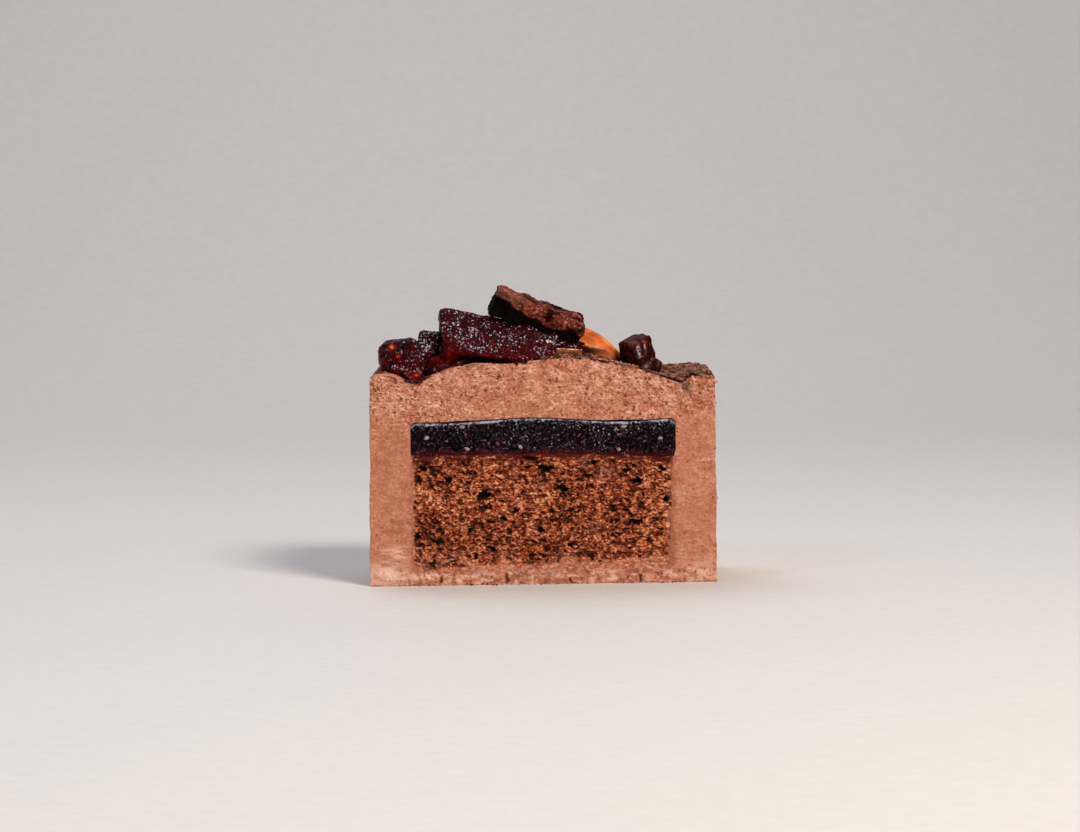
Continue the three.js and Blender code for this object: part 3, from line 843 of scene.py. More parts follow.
def ball_angles(rings, around):
    """The two angles of a ball's points but for its poles: from pole to pole, and round it."""
    polar = np.linspace(0, np.pi, rings + 1)[1:-1, None]
    return polar, np.linspace(0, 2 * np.pi, around, endpoint=False)[None, :]


def ball_faces(rings, around):
    """Faces of a ball whose points are those of its rings in turn, and then its two poles."""
    count = (rings - 1) * around
    numbers = np.arange(count).reshape(rings - 1, around)
    numbers = np.concatenate([numbers, numbers[:, :1]], axis=1)
    start, end = np.full(around, count), np.full(around, count + 1)
    return [
        grid_faces(numbers),
        np.stack([start, numbers[0, 1:], numbers[0, :-1]], axis=1),
        np.stack([end, numbers[-1, :-1], numbers[-1, 1:]], axis=1),
    ]


def almond_shell():
    """The almond: a ball on rings round its length, drawn to the nut's length, width and
    thickness and narrowed towards the front point as 1 - 0.22t - 0.12t^2, with fine furrows.
    `low` is 1 on its lower front, where shade is painted near black, but for a place at the right."""
    rings, around = 150, 170
    length, width, thickness = ALMOND_HALF
    polar, turn = ball_angles(rings, around)
    along = -np.cos(polar) + 0 * turn
    furrow = noise(triple(along * 2.2, 6 * np.cos(turn), 6 * np.sin(turn)), 0.7, 141)
    narrow = (1 - 0.22 * along - 0.12 * along**2) * (1 + 0.012 * furrow)
    y = np.sin(polar) * np.cos(turn) * width * narrow
    z = np.sin(polar) * np.sin(turn) * thickness * narrow
    body = triple(along * length, y, z).reshape(-1, 3)
    body = np.concatenate([body, [[-length, 0, 0], [length, 0, 0]]])
    placed = turned(body, ALMOND_ANGLES, ALMOND_AT)
    x, y, z = placed.T
    # Painted shade on the almond's lower front, below a wavy line.
    line = 58.2 - 0.03 * np.maximum(x - 9, 0) ** 2 + 0.5 * fractal(placed, 1.8, 142)
    low = smooth(line - z, -0.1, 0.3) * smooth(ALMOND_AT[1] - y, -1, 2)
    low = low * (1 - 0.9 * spot(x, z, 15.8, 55.3, 2.6, 1.1))
    streak = np.concatenate([furrow.ravel(), [0, 0]])
    return placed, ball_faces(rings, around), {"streak": streak, "low": low}


def ovals(listed, behind, depth, seed):
    """Small smooth seeds or drops: for each (x, z, length, height, angle) a ball of rings, made a
    little uneven, stretched to its size and turned in the plane of the cut, so far behind it."""
    rings, around = 8, 14
    polar, turn = ball_angles(rings, around)
    round_body = triple(np.sin(polar) * np.cos(turn), np.sin(polar) * np.sin(turn), np.cos(polar))
    round_body = np.concatenate([round_body.reshape(-1, 3), [[0, 0, 1], [0, 0, -1]]])
    faces = [f[:, ::-1] for f in ball_faces(rings, around)]
    parts = []
    for k, (x, z, length, height, angle) in enumerate(listed):
        body = round_body * (1 + 0.16 * noise(round_body + 5 * k, 0.8, seed)[:, None])
        body = body * (length / 2, depth / 2, height / 2)
        parts.append((turned(body, (0, angle, 0), (x, x * CUT + behind, z)), faces))
    return joined(parts)


def scattered(centres, radii, seed):
    """Many small uneven lumps, one at each centre: a twelve-cornered ball whose corners are moved
    in or out by up to a third, flattened and turned at random."""
    random = np.random.default_rng(seed)
    golden = (1 + math.sqrt(5)) / 2
    ball = np.array([
        (-1, golden, 0), (1, golden, 0), (-1, -golden, 0), (1, -golden, 0),
        (0, -1, golden), (0, 1, golden), (0, -1, -golden), (0, 1, -golden),
        (golden, 0, -1), (golden, 0, 1), (-golden, 0, -1), (-golden, 0, 1),
    ]) / math.hypot(1, golden)
    faces = np.array([
        (0, 11, 5), (0, 5, 1), (0, 1, 7), (0, 7, 10), (0, 10, 11), (1, 5, 9), (5, 11, 4),
        (11, 10, 2), (10, 7, 6), (7, 1, 8), (3, 9, 4), (3, 4, 2), (3, 2, 6), (3, 6, 8),
        (3, 8, 9), (4, 9, 5), (2, 4, 11), (6, 2, 10), (8, 6, 7), (9, 8, 1),
    ])
    count, corners, flat = len(centres), len(ball), 0.7
    swell = random.uniform(0.7, 1.25, (count, corners, 1))
    spin = random.uniform(0, 2 * np.pi, (count, 1))
    x, y, z = np.moveaxis(ball[None] * swell * np.asarray(radii)[:, None, None], -1, 0)
    turned_x = x * np.cos(spin) - y * np.sin(spin)
    turned_y = x * np.sin(spin) + y * np.cos(spin)
    placed = triple(turned_x, turned_y, z * flat) + np.asarray(centres)[:, None]
    all_faces = faces[None] + corners * np.arange(count)[:, None, None]
    return placed.reshape(-1, 3), [all_faces.reshape(-1, 3)]


# ------------------------------------------------------------------ materials


def paint(hex_colour):
    """An sRGB hex colour as the linear colour that the shader works in."""
    parts = [int(hex_colour[k : k + 2], 16) / 255 for k in (1, 3, 5)]
    linear = [c / 12.92 if c <= 0.04045 else ((c + 0.055) / 1.055) ** 2.4 for c in parts]
    return (*linear, 1.0)


def spacing(millimetres):
    """Scale of a texture on Object coordinates whose features lie this far apart."""
    return 1 / (millimetres * MM)


def feed(tree, socket, value):
    """Gives an input its value, or links it to the node or output that feeds it. A node feeds by
    its factor where it has one, and otherwise by its first output."""
    if isinstance(value, bpy.types.Node):
        live = [s for s in value.outputs if s.enabled]
        value = next((s for s in live if s.name == "Fac"), live[0])
    if isinstance(value, bpy.types.NodeSocket):
        tree.links.new(value, socket)
    else:
        socket.default_value = paint(value) if isinstance(value, str) else value


def add(tree, kind, into=(), stops=(), **settings):
    """Adds a shader node. Settings are its properties, `into` gives its inputs, in turn or by name,
    a value, a hex colour or what feeds them, and `stops` are a ramp's (place, colour) stops. In
    turn, a noise has its place, scale, detail and roughness, and a Map Range its value, the two
    ends that it comes from and the two that it goes to, which are 0 and 1 if left out."""
    new = tree.nodes.new("ShaderNode" + kind)
    for key, value in settings.items():
        setattr(new, key, value)
    live = [s for s in new.inputs if s.enabled]
    if isinstance(into, dict):
        live = [next(s for s in live if s.name == name) for name in into]
        into = into.values()
    for socket, value in zip(live, into):
        feed(tree, socket, value)
    if stops:
        elements = new.color_ramp.elements
        while len(elements) < len(stops):
            elements.new(1.0)
        for element, (place, colour) in zip(elements, stops):
            element.position = place
            element.color = paint(colour)
    return new


def lay_over(tree, colour, shade, amount, most=1.0):
    """Lays a shade over a colour where the amount is high, and at most so thickly. The amount is
    a node, or the name of an attribute of the mesh."""
    if isinstance(amount, str):
        amount = add(tree, "Attribute", attribute_name=amount)
    weight = add(tree, "Math", [amount, most], operation="MULTIPLY")
    return add(tree, "Mix", [weight, colour, shade], data_type="RGBA")


def begin(name):
    """A new material, its tree and its Object coordinates."""
    material = bpy.data.materials.new(name)
    material.use_nodes = True
    return material, material.node_tree, add(material.node_tree, "TexCoord").outputs["Object"]


def finished(material, colour, roughness, bump=None, **sockets):
    """Feeds the surface shader its colour, its roughness and what is the same all over. `bump` is
    the node that raises the skin, its strength, and its height in mm."""
    tree = material.node_tree
    shader = next(n for n in tree.nodes if n.type == "BSDF_PRINCIPLED")
    if bump:
        raised, strength, tall = bump
        settings = {"Height": raised, "Strength": strength, "Distance": tall * MM}
        sockets["Normal"] = add(tree, "Bump", settings)
    for key, value in {"Base_Color": colour, "Roughness": roughness, **sockets}.items():
        feed(tree, shader.inputs[key.replace("_", " ")], value)
    return material


def dots(tree, place, apart, reach, sharp, amount):
    """Small ragged dots, 1 in their middle and 0 outside: cells `apart` mm apart, of which each
    shows a dot out to `reach` of its width, times the amount, which is a node from 0 to 1."""
    drift = add(tree, "TexNoise", [place, spacing(0.6 * apart), 1])
    far = (0.35 * apart * MM,) * 3
    away = drift.outputs["Color"]
    bent = add(tree, "VectorMath", [away, far, place], operation="MULTIPLY_ADD")
    cell = add(tree, "TexVoronoi", [bent, spacing(apart)])
    push = add(tree, "Math", [amount, reach], operation="MULTIPLY")
    distance = add(tree, "Math", [cell, push], operation="SUBTRACT")
    return add(tree, "MapRange", [distance, 0.0, -sharp])


def mousse_material():
    """Milk chocolate mousse, whipped, set in a mould and cut with a knife. It is matt and salmon
    brown. The cut shows paler grains, finer where the knife smoothed it, partly its own grain and
    partly painted light where the grain stands out; small bubbles of two sizes, that lie thicker in
    some places, and the cracks are painted red-brown in their pits as shade."""
    material, tree, place = begin("whipped_milk_chocolate_mousse")
    grain = add(tree, "Attribute", attribute_name="grain")
    rough = add(tree, "Attribute", attribute_name="rough")
    wide = add(tree, "Mapping", {"Vector": place, "Scale": (0.75, 1.0, 1.4)})
    fine = add(tree, "TexNoise", [wide, spacing(0.42), 3, 0.7])
    wave = add(tree, "TexNoise", [wide, spacing(1.3), 2, 0.6])
    lively = add(tree, "Math", [rough, 0.8, 0.1], operation="MULTIPLY_ADD")
    swing = add(tree, "Math", [rough, 0.36, 0.04], operation="MULTIPLY_ADD")
    mixed = add(tree, "Math", [grain, 0.12, 0.5], operation="MULTIPLY_ADD")
    for texture, middle, height in ((fine, 0.5, lively), (wave, 0.44, swing)):
        away = add(tree, "Math", [texture, middle], operation="SUBTRACT")
        mixed = add(tree, "Math", [away, height, mixed], operation="MULTIPLY_ADD")
    # The colour follows the noises that raise the bump, so raised grains are painted paler, partly
    # as light.
    colour = add(tree, "ValToRGB", [mixed], [
        (0.26, "#7e3b26"), (0.40, "#b06b50"), (0.50, "#c78265"), (0.60, "#dfa185"),
        (0.74, "#fddac6"),
    ])
    slow = add(tree, "TexNoise", [place, spacing(14), 2])
    tint = add(tree, "ValToRGB", [slow], [(0.3, "#f2e7e2"), (0.7, "#fcf9f8")])
    colour = add(tree, "Mix", [1.0, colour, tint], data_type="RGBA", blend_type="MULTIPLY")
    drift = add(tree, "TexNoise", [place, spacing(3.2), 2])
    thick = add(tree, "MapRange", [drift, 0.4, 0.68])
    thick = add(tree, "Math", [thick, rough], operation="MULTIPLY")
    few = add(tree, "Math", [rough, 0.6, 0.4], operation="MULTIPLY_ADD")
    small = dots(tree, wide, 0.8, 0.36, 0.14, thick)
    large = dots(tree, place, 1.5, 0.26, 0.08, few)
    bubble = add(tree, "Math", [small, large], operation="MAXIMUM")
    # The bubble dots and the pits and cracks are painted dark red-brown as shade.
    for amount, shade in (
        (bubble, "#7a341f"), ("stain", "#9a5038"), ("smear", "#ffd6bf"), ("pit", "#6e2c19"),
        ("cocoa", "#3d211a"),
    ):
        colour = lay_over(tree, colour, shade, amount, 0.85)
    raised = add(tree, "Math", [fine, lively, wave], operation="MULTIPLY_ADD")
    raised = add(tree, "Math", [bubble, -0.7, raised], operation="MULTIPLY_ADD")
    return finished(material, colour, 0.82, (raised, 0.8, 0.22), Specular_IOR_Level=0.3)


def cocoa_material():
    """Sifted cocoa powder over damp mousse. It is dead matt, dark brown where it is thick,
    paler reddish brown where grains stand up dry, and near black where shade is painted, in the
    groove at the right and under the jelly bar."""
    material, tree, place = begin("sifted_cocoa_powder")
    lump_and_shade = add(tree, "Attribute", attribute_name="lump_and_shade")
    fine = add(tree, "TexNoise", [place, spacing(0.45), 5, 0.75])
    mixed = add(tree, "Math", [lump_and_shade, 0.16, fine], operation="MULTIPLY_ADD")
    colour = add(tree, "ValToRGB", [mixed], [
        (0.36, "#170906"), (0.46, "#47251b"), (0.56, "#7e4d3d"), (0.70, "#bd8a78"),
    ])
    return finished(material, colour, 0.95, (fine, 0.9, 0.25), Specular_IOR_Level=0.15)


def sponge_material():
    """Baked chocolate sponge, torn a little by the knife. Its fine round crumb is painted pale
    orange on its tops and red-brown in its gaps, and its open pores nearly black, as light and
    shade; its top is stained red by the jelly, and mousse is smeared over its edges."""
    material, tree, place = begin("baked_chocolate_sponge")
    relief = add(tree, "Attribute", attribute_name="relief")
    granule = add(tree, "Attribute", attribute_name="granule")
    wide = add(tree, "Mapping", {"Vector": place, "Scale": (0.8, 1.0, 1.3)})
    fine = add(tree, "TexNoise", [wide, spacing(0.54), 3, 0.75])
    grain = add(tree, "TexVoronoi", [wide, spacing(0.6)])
    # The noise that raises the bump also paints the colour paler, and the cells are painted darker
    # towards their edges, as light and shade on the crumb.
    mixed = add(tree, "Math", [fine, 1.05, -0.225], operation="MULTIPLY_ADD")
    mixed = add(tree, "Math", [grain, -0.6, mixed], operation="MULTIPLY_ADD")
    mixed = add(tree, "Math", [relief, mixed], operation="ADD")
    colour = add(tree, "ValToRGB", [mixed], [
        (0.0, "#20100c"), (0.20, "#36140c"), (0.45, "#823c1f"), (0.70, "#c8724a"),
        (0.95, "#f4c09c"),
    ])
    tint = add(tree, "ValToRGB", [granule], [(0.0, "#c89a90"), (0.5, "#ffffff"), (1.0, "#ffe2c4")])
    colour = add(tree, "Mix", [1.0, colour, tint], data_type="RGBA", blend_type="MULTIPLY")
    curd = add(tree, "TexNoise", [wide, spacing(0.9), 3, 0.75])
    smears = [(0.36, "#9c4d33"), (0.5, "#c47a5e"), (0.64, "#efb498")]
    smeared = add(tree, "ValToRGB", [curd], smears)
    for amount, shade, most in (
        ("stain", "#5a170f", 0.92), ("soft", "#a06450", 0.6), ("blend", smeared, 0.9),
    ):
        colour = lay_over(tree, colour, shade, amount, most)
    return finished(material, colour, 0.88, (fine, 0.9, 0.3), Specular_IOR_Level=0.2)


def jelly_layer_material():
    """Set berry jelly, cut wet. It is nearly black with a purple cast and maroon where it thins out
    over the sponge; small bluish glints of two sizes are painted on it, and a highlight along its
    upper edge."""
    material, tree, place = begin("set_berry_jelly")
    glint = add(tree, "Attribute", attribute_name="glint")
    edge = add(tree, "Attribute", attribute_name="edge")
    fine = add(tree, "TexNoise", [place, spacing(0.75), 4, 0.75])
    # The lightest stops of this ramp are painted glints.
    colour = add(tree, "ValToRGB", [fine], [
        (0.44, "#040102"), (0.53, "#14080e"), (0.61, "#35232f"), (0.68, "#77707f"),
        (0.76, "#c6c6d4"),
    ])
    colour = lay_over(tree, colour, "#4a141c", "maroon", 0.8)
    # Painted glints of two sizes.
    for apart, reach, shade in ((0.5, 0.52, "#6a6272"), (0.95, 0.38, "#d6d8e6")):
        colour = lay_over(tree, colour, shade, dots(tree, place, apart, reach, 0.22, glint), 0.85)
    # A highlight painted along the upper edge, broken in places.
    gap = add(tree, "TexNoise", [place, spacing(1.1), 3, 0.8])
    broken = add(tree, "MapRange", [gap, 0.42, 0.58])
    broken = add(tree, "Math", [edge, broken], operation="MULTIPLY")
    colour = lay_over(tree, colour, "#b6b9c9", broken)
    return finished(material, colour, 0.28, (fine, 0.5, 0.25), IOR=1.42, Specular_IOR_Level=0.05)


def fruit_jelly_material():
    """Boiled dark cherry jelly. It is deep red and partly see-through; a red glow is painted into
    it where it is thin, and a net of small bluish glints is painted on its wet skin, thickest
    where `glint` is high and along the crests of slanting wrinkles."""
    material, tree, place = begin("boiled_cherry_jelly")
    thin = add(tree, "Attribute", attribute_name="thin")
    glint = add(tree, "Attribute", attribute_name="glint")
    depth = add(tree, "TexNoise", [place, spacing(2.0), 4, 0.65])
    # Where the painted glow is strong, the colour runs from deep red to orange.
    mixed = add(tree, "Math", [thin, depth], operation="MULTIPLY")
    colour = add(tree, "ValToRGB", [mixed], [
        (0.06, "#0c0102"), (0.18, "#200305"), (0.32, "#5a080a"), (0.52, "#981c10"),
        (0.75, "#f07a28"),
    ])
    wrinkle = add(tree, "TexNoise", [place, spacing(0.46), 3, 0.7])
    slant = {"Vector": place, "Rotation": (0.0, -0.3, 0.0), "Scale": (0.6, 1.0, 1.2)}
    slant = add(tree, "Mapping", slant)
    fold = add(tree, "TexNoise", [slant, spacing(1.0), 1])
    away = add(tree, "Math", [fold, 0.5], operation="SUBTRACT")
    away = add(tree, "Math", [away], operation="ABSOLUTE")
    crest = add(tree, "MapRange", [away, 0.0, 0.08, 0.06, -0.02])
    raised = add(tree, "Math", [glint, 0.22, -0.12], operation="MULTIPLY_ADD")
    for more in (crest, wrinkle):
        raised = add(tree, "Math", [raised, more], operation="ADD")
    # Painted glints, from mauve to bluish white.
    for low, high, most, shade in (
        (0.53, 0.62, 0.4, "#5c2230"), (0.58, 0.66, 0.7, "#8a7488"), (0.64, 0.69, 0.95, "#f6f4ff"),
    ):
        lit = add(tree, "MapRange", [raised, low, high])
        colour = lay_over(tree, colour, shade, lit, most)
    return finished(
        material, colour, 0.16, (wrinkle, 0.9, 0.5), IOR=1.45, Specular_IOR_Level=0.06,
        Subsurface_Weight=0.15, Subsurface_Radius=(3 * MM, 0.5 * MM, 0.4 * MM),
        Subsurface_Scale=1.0,
    )


def brownie_material():
    """Baked brownie: a thin crackled crust, reddish brown with a painted sugar sparkle and a paler
    patch at its left end, over a moist crumb that is nearly black."""
    material, tree, place = begin("baked_brownie")
    crust = add(tree, "Attribute", attribute_name="crust")
    fine = add(tree, "TexNoise", [place, spacing(0.8), 5, 0.7])
    crumb = add(tree, "ValToRGB", [fine], [(0.35, "#030000"), (0.6, "#0c0202"), (0.78, "#341410")])
    top = add(tree, "ValToRGB", [fine], [
        (0.28, "#280806"), (0.42, "#5c1e15"), (0.55, "#904536"), (0.66, "#c08472"),
        (0.78, "#efd2c6"),
    ])
    patch = add(tree, "TexNoise", [place, spacing(3.6), 3])
    shaded = add(tree, "ValToRGB", [patch], [(0.40, "#4c1a16"), (0.56, "#ffffff")])
    top = add(tree, "Mix", [1.0, top, shaded], data_type="RGBA", blend_type="MULTIPLY")
    top = lay_over(tree, top, "#a8685a", "pale")
    colour = lay_over(tree, crumb, top, crust)
    # Painted sparkle: small pale glints on the crust.
    colour = lay_over(tree, colour, "#e6c9c2", dots(tree, place, 1.3, 0.18, 0.12, crust), 0.5)
    gloss = add(tree, "MapRange", [fine, 0.35, 0.65, 0.35, 0.75])
    return finished(material, colour, gloss, (fine, 0.9, 0.3), Specular_IOR_Level=0.03)


def almond_material():
    """Roasted almond in its skin: satin orange brown, with fine lengthwise streaks, and shade
    painted near black on its lower front."""
    material, tree, place = begin("roasted_almond_skin")
    streak = add(tree, "Attribute", attribute_name="streak")
    slow = add(tree, "TexNoise", [place, spacing(3.5), 3])
    mixed = add(tree, "Math", [streak, 0.13, slow], operation="MULTIPLY_ADD")
    shades = [(0.26, "#b04a16"), (0.48, "#dc6824"), (0.68, "#f6943e")]
    colour = add(tree, "ValToRGB", [mixed], shades)
    # Painted shade on the lower front.
    colour = lay_over(tree, colour, "#2a0d06", "low", 0.97)
    return finished(material, colour, 0.42, (streak, 0.35, 0.15), Specular_IOR_Level=0.25)


def caramel_material():
    """Cooked caramel: clear amber, glossy, with a darker heart and a highlight painted along its
    upper front edge."""
    material, tree, place = begin("cooked_caramel")
    painted_highlight = add(tree, "Attribute", attribute_name="painted_highlight")
    cloud = add(tree, "TexNoise", [place, spacing(1.6), 3])
    shades = [(0.3, "#6c2a0e"), (0.55, "#a35222"), (0.75, "#d8924c")]
    colour = add(tree, "ValToRGB", [cloud], shades)
    # Painted highlight along the upper front edge.
    fine = add(tree, "TexNoise", [place, spacing(0.5), 2])
    lit = add(tree, "MapRange", [fine, 0.44, 0.56])
    lit = add(tree, "Math", [lit, painted_highlight], operation="MULTIPLY")
    colour = lay_over(tree, colour, "#f6ebe4", lit)
    return finished(
        material, colour, 0.14, (cloud, 0.3, 0.2), IOR=1.5, Subsurface_Weight=0.3,
        Subsurface_Radius=(2 * MM, 0.8 * MM, 0.3 * MM), Subsurface_Scale=1.0,
    )


def chocolate_material():
    """Dark chocolate, broken off a block: nearly black, with reddish worn edges and short
    highlights painted on its ridges."""
    material, tree, place = begin("broken_dark_chocolate")
    ridge = add(tree, "Attribute", attribute_name="ridge")
    fine = add(tree, "TexNoise", [place, spacing(1.5), 4, 0.65])
    shades = [(0.32, "#150404"), (0.52, "#39100b"), (0.72, "#782a1c")]
    colour = add(tree, "ValToRGB", [fine], shades)
    # Painted highlights on the ridges.
    streak = add(tree, "TexNoise", [place, spacing(0.8), 3, 0.7])
    lit = add(tree, "MapRange", [streak, 0.42, 0.58])
    lit = add(tree, "Math", [lit, ridge], operation="MULTIPLY")
    colour = lay_over(tree, colour, "#d9cdd6", lit, 0.95)
    gloss = add(tree, "MapRange", [fine, 0.4, 0.7, 0.2, 0.5])
    return finished(
        material, colour, gloss, (fine, 0.7, 0.4), IOR=1.5, Specular_IOR_Level=0.03
    )


def seed_material(name, dark, light):
    """Berry seeds and flecks of skin, cut with the jelly: satin, and a little mottled."""
    material, tree, place = begin(name)
    fine = add(tree, "TexNoise", [place, spacing(0.5), 3])
    return finished(material, add(tree, "ValToRGB", [fine], [(0.35, dark), (0.65, light)]), 0.45)


# ------------------------------------------------------------------ the dressed cake

# Cocoa crumbs: how many, x from and to, distance behind the cut from and to, radius from and to,
# and how high they are heaped.
COCOA_CRUMBS = [
    (260, 2, 24, -0.1, 2.2, 0.12, 0.45, 0),  # along the top of the cut
    (420, 22, 41, -0.1, 3.5, 0.14, 0.6, 0),  # thickest at its right
    (500, -40, 40, 9, 36, 0.14, 0.5, 0),  # all over the hidden part of the top
    (160, 4, 40, 1.0, 9, 0.14, 0.5, 0),  # on the rim and in the groove at the right
    (200, -20, 3, 1.2, 4.0, 0.15, 0.45, 0),  # in front of the jelly bar
    (320, -2, 17, 0.3, 2.6, 0.15, 0.5, 0.7),  # before the caramel and the almond
    (300, -21, 0, 4.0, 8.0, 0.4, 0.9, 2.2),  # the heap under the jelly bar
]
FALLEN_CRUMBS = 44  # cocoa crumbs along the foot
EDGE_CRUMBS, FOOT_CRUMBS = 120, 50  # mousse crumbs on the upper edge and along the foot
# Mousse crumbs stuck to the right edge of the cut: height and radius.
STUCK_CRUMBS = [(21.0, 0.75), (20.3, 0.5), (49.3, 0.7), (44.1, 0.4), (33.0, 0.4), (9.0, 0.4)]

# Seeds and flecks that the knife cut through in the jelly, and jelly that ran out on the mousse:
# x, z, length, height and angle of each.
SEEDS = [
    (-19.8, 38.9, 1.7, 1.0, 5), (-28.6, 36.3, 1.5, 1.2, -30), (-18.7, 33.5, 1.5, 0.9, 20),
    (-5.7, 33.8, 1.4, 1.1, 40), (19.5, 38.5, 1.7, 0.9, 0), (18.5, 33.0, 1.3, 1.0, 35),
    (28.6, 35.6, 1.4, 1.0, -10),
]
FLECKS = [
    (-19.0, 37.0, 1.0, 0.8, 50), (-11.1, 34.6, 1.0, 0.9, 10), (8.7, 36.5, 1.3, 0.6, -50),
    (18.9, 36.6, 1.1, 0.9, 0),
]
DRIPS = [
    (-6.5, 54.3, 1.6, 1.7, 0), (-4.9, 54.7, 2.4, 0.9, 8), (-24.4, 53.6, 3.2, 1.3, -28),
    (-20.6, 54.4, 2.6, 1.1, -20), (-31.6, 50.1, 5.2, 0.9, 2), (-28.7, 50.9, 3.2, 0.8, -24),
]

# Spots as seen from the front for painted glints and glow: x, z, reach in x, reach in z, amount.
GLINTS = [
    (-20, 62.3, 6.0, 2.2, 0.17), (-22.5, 55.8, 3.6, 1.8, -0.4), (-9, 58.6, 7.0, 2.0, 0.1),
    (-1, 57.6, 4.0, 2.0, 0.1), (-28.4, 59.6, 1.9, 2.4, 0.42), (-33.6, 54.0, 3.4, 2.2, 0.02),
    (-38.0, 57.0, 3.8, 4.0, -0.2), (-24.5, 54.5, 4, 2, -0.3),
]
GLOWS = [
    (-37.2, 58.1, 0.7, 0.65, 1.1), (-35.5, 56.0, 0.7, 0.55, 0.9), (-39.4, 54.4, 1.0, 1.0, 0.4),
    (-22.0, 55.9, 2.6, 1.5, 0.4), (-33.6, 52.7, 2.4, 0.6, 0.2), (-32.8, 50.6, 0.9, 0.4, 0.7),
    (-31.4, 51.2, 0.9, 0.4, 0.8), (-30.2, 51.9, 0.9, 0.4, 0.6),
]
# Highlights painted on the chocolate's ridges, in its own block's x and z.
RIDGES = [(-1.3, 1.6, 0.4, 1.4, 0.95), (0.7, 2.2, 0.3, 1.3, 0.75), (-0.2, -2.6, 1.0, 0.5, 0.5)]


def crumbs_of_cocoa():
    """Cocoa crumbs: on the top, in the places of the list, and a few fallen ones along the foot.
    Those under the jelly bar are painted dark as shade."""
    random = np.random.default_rng(301)
    centres, radii = [], []
    for count, low_x, high_x, low_y, high_y, smallest, largest, heap in COCOA_CRUMBS:
        x, behind = random.uniform(low_x, high_x, count), random.uniform(low_y, high_y, count)
        y = x * CUT + behind
        radius = smallest + (largest - smallest) * random.uniform(0, 1, count) ** 2
        lift = heap * random.uniform(0, 1, count)
        cocoa_top = uneven_top(x, y) + np.maximum(cocoa_thickness(x, y)[0], 0)
        centres.append(triple(x, y, cocoa_top + 0.3 * radius + lift))
        radii.append(radius)
    x = random.uniform(-41, 41, FALLEN_CRUMBS)
    radius = 0.1 + 0.25 * random.uniform(0, 1, FALLEN_CRUMBS) ** 2
    away = 0.1 + 2.4 * random.uniform(0, 1, FALLEN_CRUMBS) ** 2
    centres.append(triple(x, x * CUT - away, 0.9 * radius))
    radii.append(radius)
    points, faces = scattered(np.concatenate(centres), np.concatenate(radii), 302)
    x, y, _ = points.T
    # Painted shade under the jelly bar.
    shaded = smooth(x, 1, -3) * smooth(x, -23, -19) * smooth(y, 11, 8)
    return points, faces, {"lump_and_shade": 0.4 + fractal(points, 1.6, 303) - 1.8 * shaded}


def crumbs_of_mousse():
    """Crumbs that the knife tore off the mousse: on the upper edge, along the foot, and a few
    stuck to the right edge of the cut."""
    random = np.random.default_rng(311)
    edge_x, foot_x = random.uniform(-1, 21, EDGE_CRUMBS), random.uniform(-41, 41, FOOT_CRUMBS)
    edge_radius = random.uniform(0.12, 0.38, EDGE_CRUMBS)
    foot_radius = random.uniform(0.12, 0.35, FOOT_CRUMBS)
    edge_out = random.uniform(-1.2, 0.1, EDGE_CRUMBS)
    foot_out = random.uniform(0.0, 1.4, FOOT_CRUMBS)
    stuck_z, stuck_radius = np.transpose(STUCK_CRUMBS)
    edge_z = mousse_top(edge_x, edge_x * CUT) + 0.3
    x = np.concatenate([edge_x, foot_x, np.full(len(stuck_z), HALF - DRAFT)])
    z = np.concatenate([edge_z, 0.9 * foot_radius, stuck_z])
    out = np.concatenate([edge_out, foot_out, np.full(len(stuck_z), -0.2)])
    radius = np.concatenate([edge_radius, foot_radius, stuck_radius])
    points, faces = scattered(on_cut(x, z, out), radius, 312)
    grain = 0.5 * fractal(points, 0.8, 313)
    return points, faces, {"grain": grain, "rough": np.ones(len(points))}


def jelly_looks(block, points, out):
    """How strongly a red glow is painted into the jelly and how thick its painted glints lie, for
    the points of one block. The glow is painted on its undersides, lower down and in listed spots;
    the glints lie in slanting drifts on the side that faces the viewer and the lamps, and thin out
    behind."""
    normal_x, normal_y, normal_z = turned(out, block.angles).T
    x, y, z = points.T
    # Painted glow: redder on the undersides, lower down and in the listed spots.
    thin = 0.42 + 0.25 * smooth(-normal_z, 0.1, 0.8)
    thin = thin + 0.12 * smooth(z, 61, 55) - 0.08 * smooth(x, -27, -30)
    thin = thin + spots(x, z, GLOWS) * smooth(-normal_y, 0, 0.5)
    slanting = triple(0.5 * x - 0.3 * z, y, z + 0.25 * x)
    drift = fractal(slanting, 1.3, block.seed + 5, 3, 0.7)
    glint = 0.54 + 0.32 * drift + spots(x, z, GLINTS)
    facing = smooth(normal_x * 0.3 - normal_y + 0.3 * normal_z, -0.2, 0.7)
    return np.clip(thin, 0, 1.6), np.clip(glint * (0.3 + 0.7 * facing), 0, 1.2)


def jelly_blocks(blocks, step, seed):
    """Blocks of fruit jelly as one piece; each block's pebbles have their own seed."""
    parts, looks = [], []
    for block in blocks:
        points, faces, _, out = rounded_block(block, step, pebbled(seed + block.seed))
        parts.append((points, faces))
        looks.append(jelly_looks(block, points, out))
    thin, glint = (np.concatenate(values) for values in zip(*looks))
    return *joined(parts), {"thin": thin, "glint": glint}


def jelly_drips():
    """Thin jelly that ran out on the mousse."""
    points, faces = ovals(DRIPS, 0.5, 1.6, 152)
    every = np.ones(len(points))
    # A little painted glow and painted glints all over.
    return points, faces, {"thin": 0.5 * every, "glint": 0.4 * every}


def brownie_block():
    """The brownie. `pale` is the smooth patch at the left end of its crust."""
    points, faces, box, _ = rounded_block(BROWNIE, 0.2, brownie_skin)
    patch = spot(box[:, 0], box[:, 1], -8.5, -2.5, 3.5, 4.5)
    pale = np.clip(patch * (0.45 + 0.25 * fractal(box, 1.5, 136)), 0, 0.7)
    return points, faces, {"crust": crust_share(box), "pale": pale}


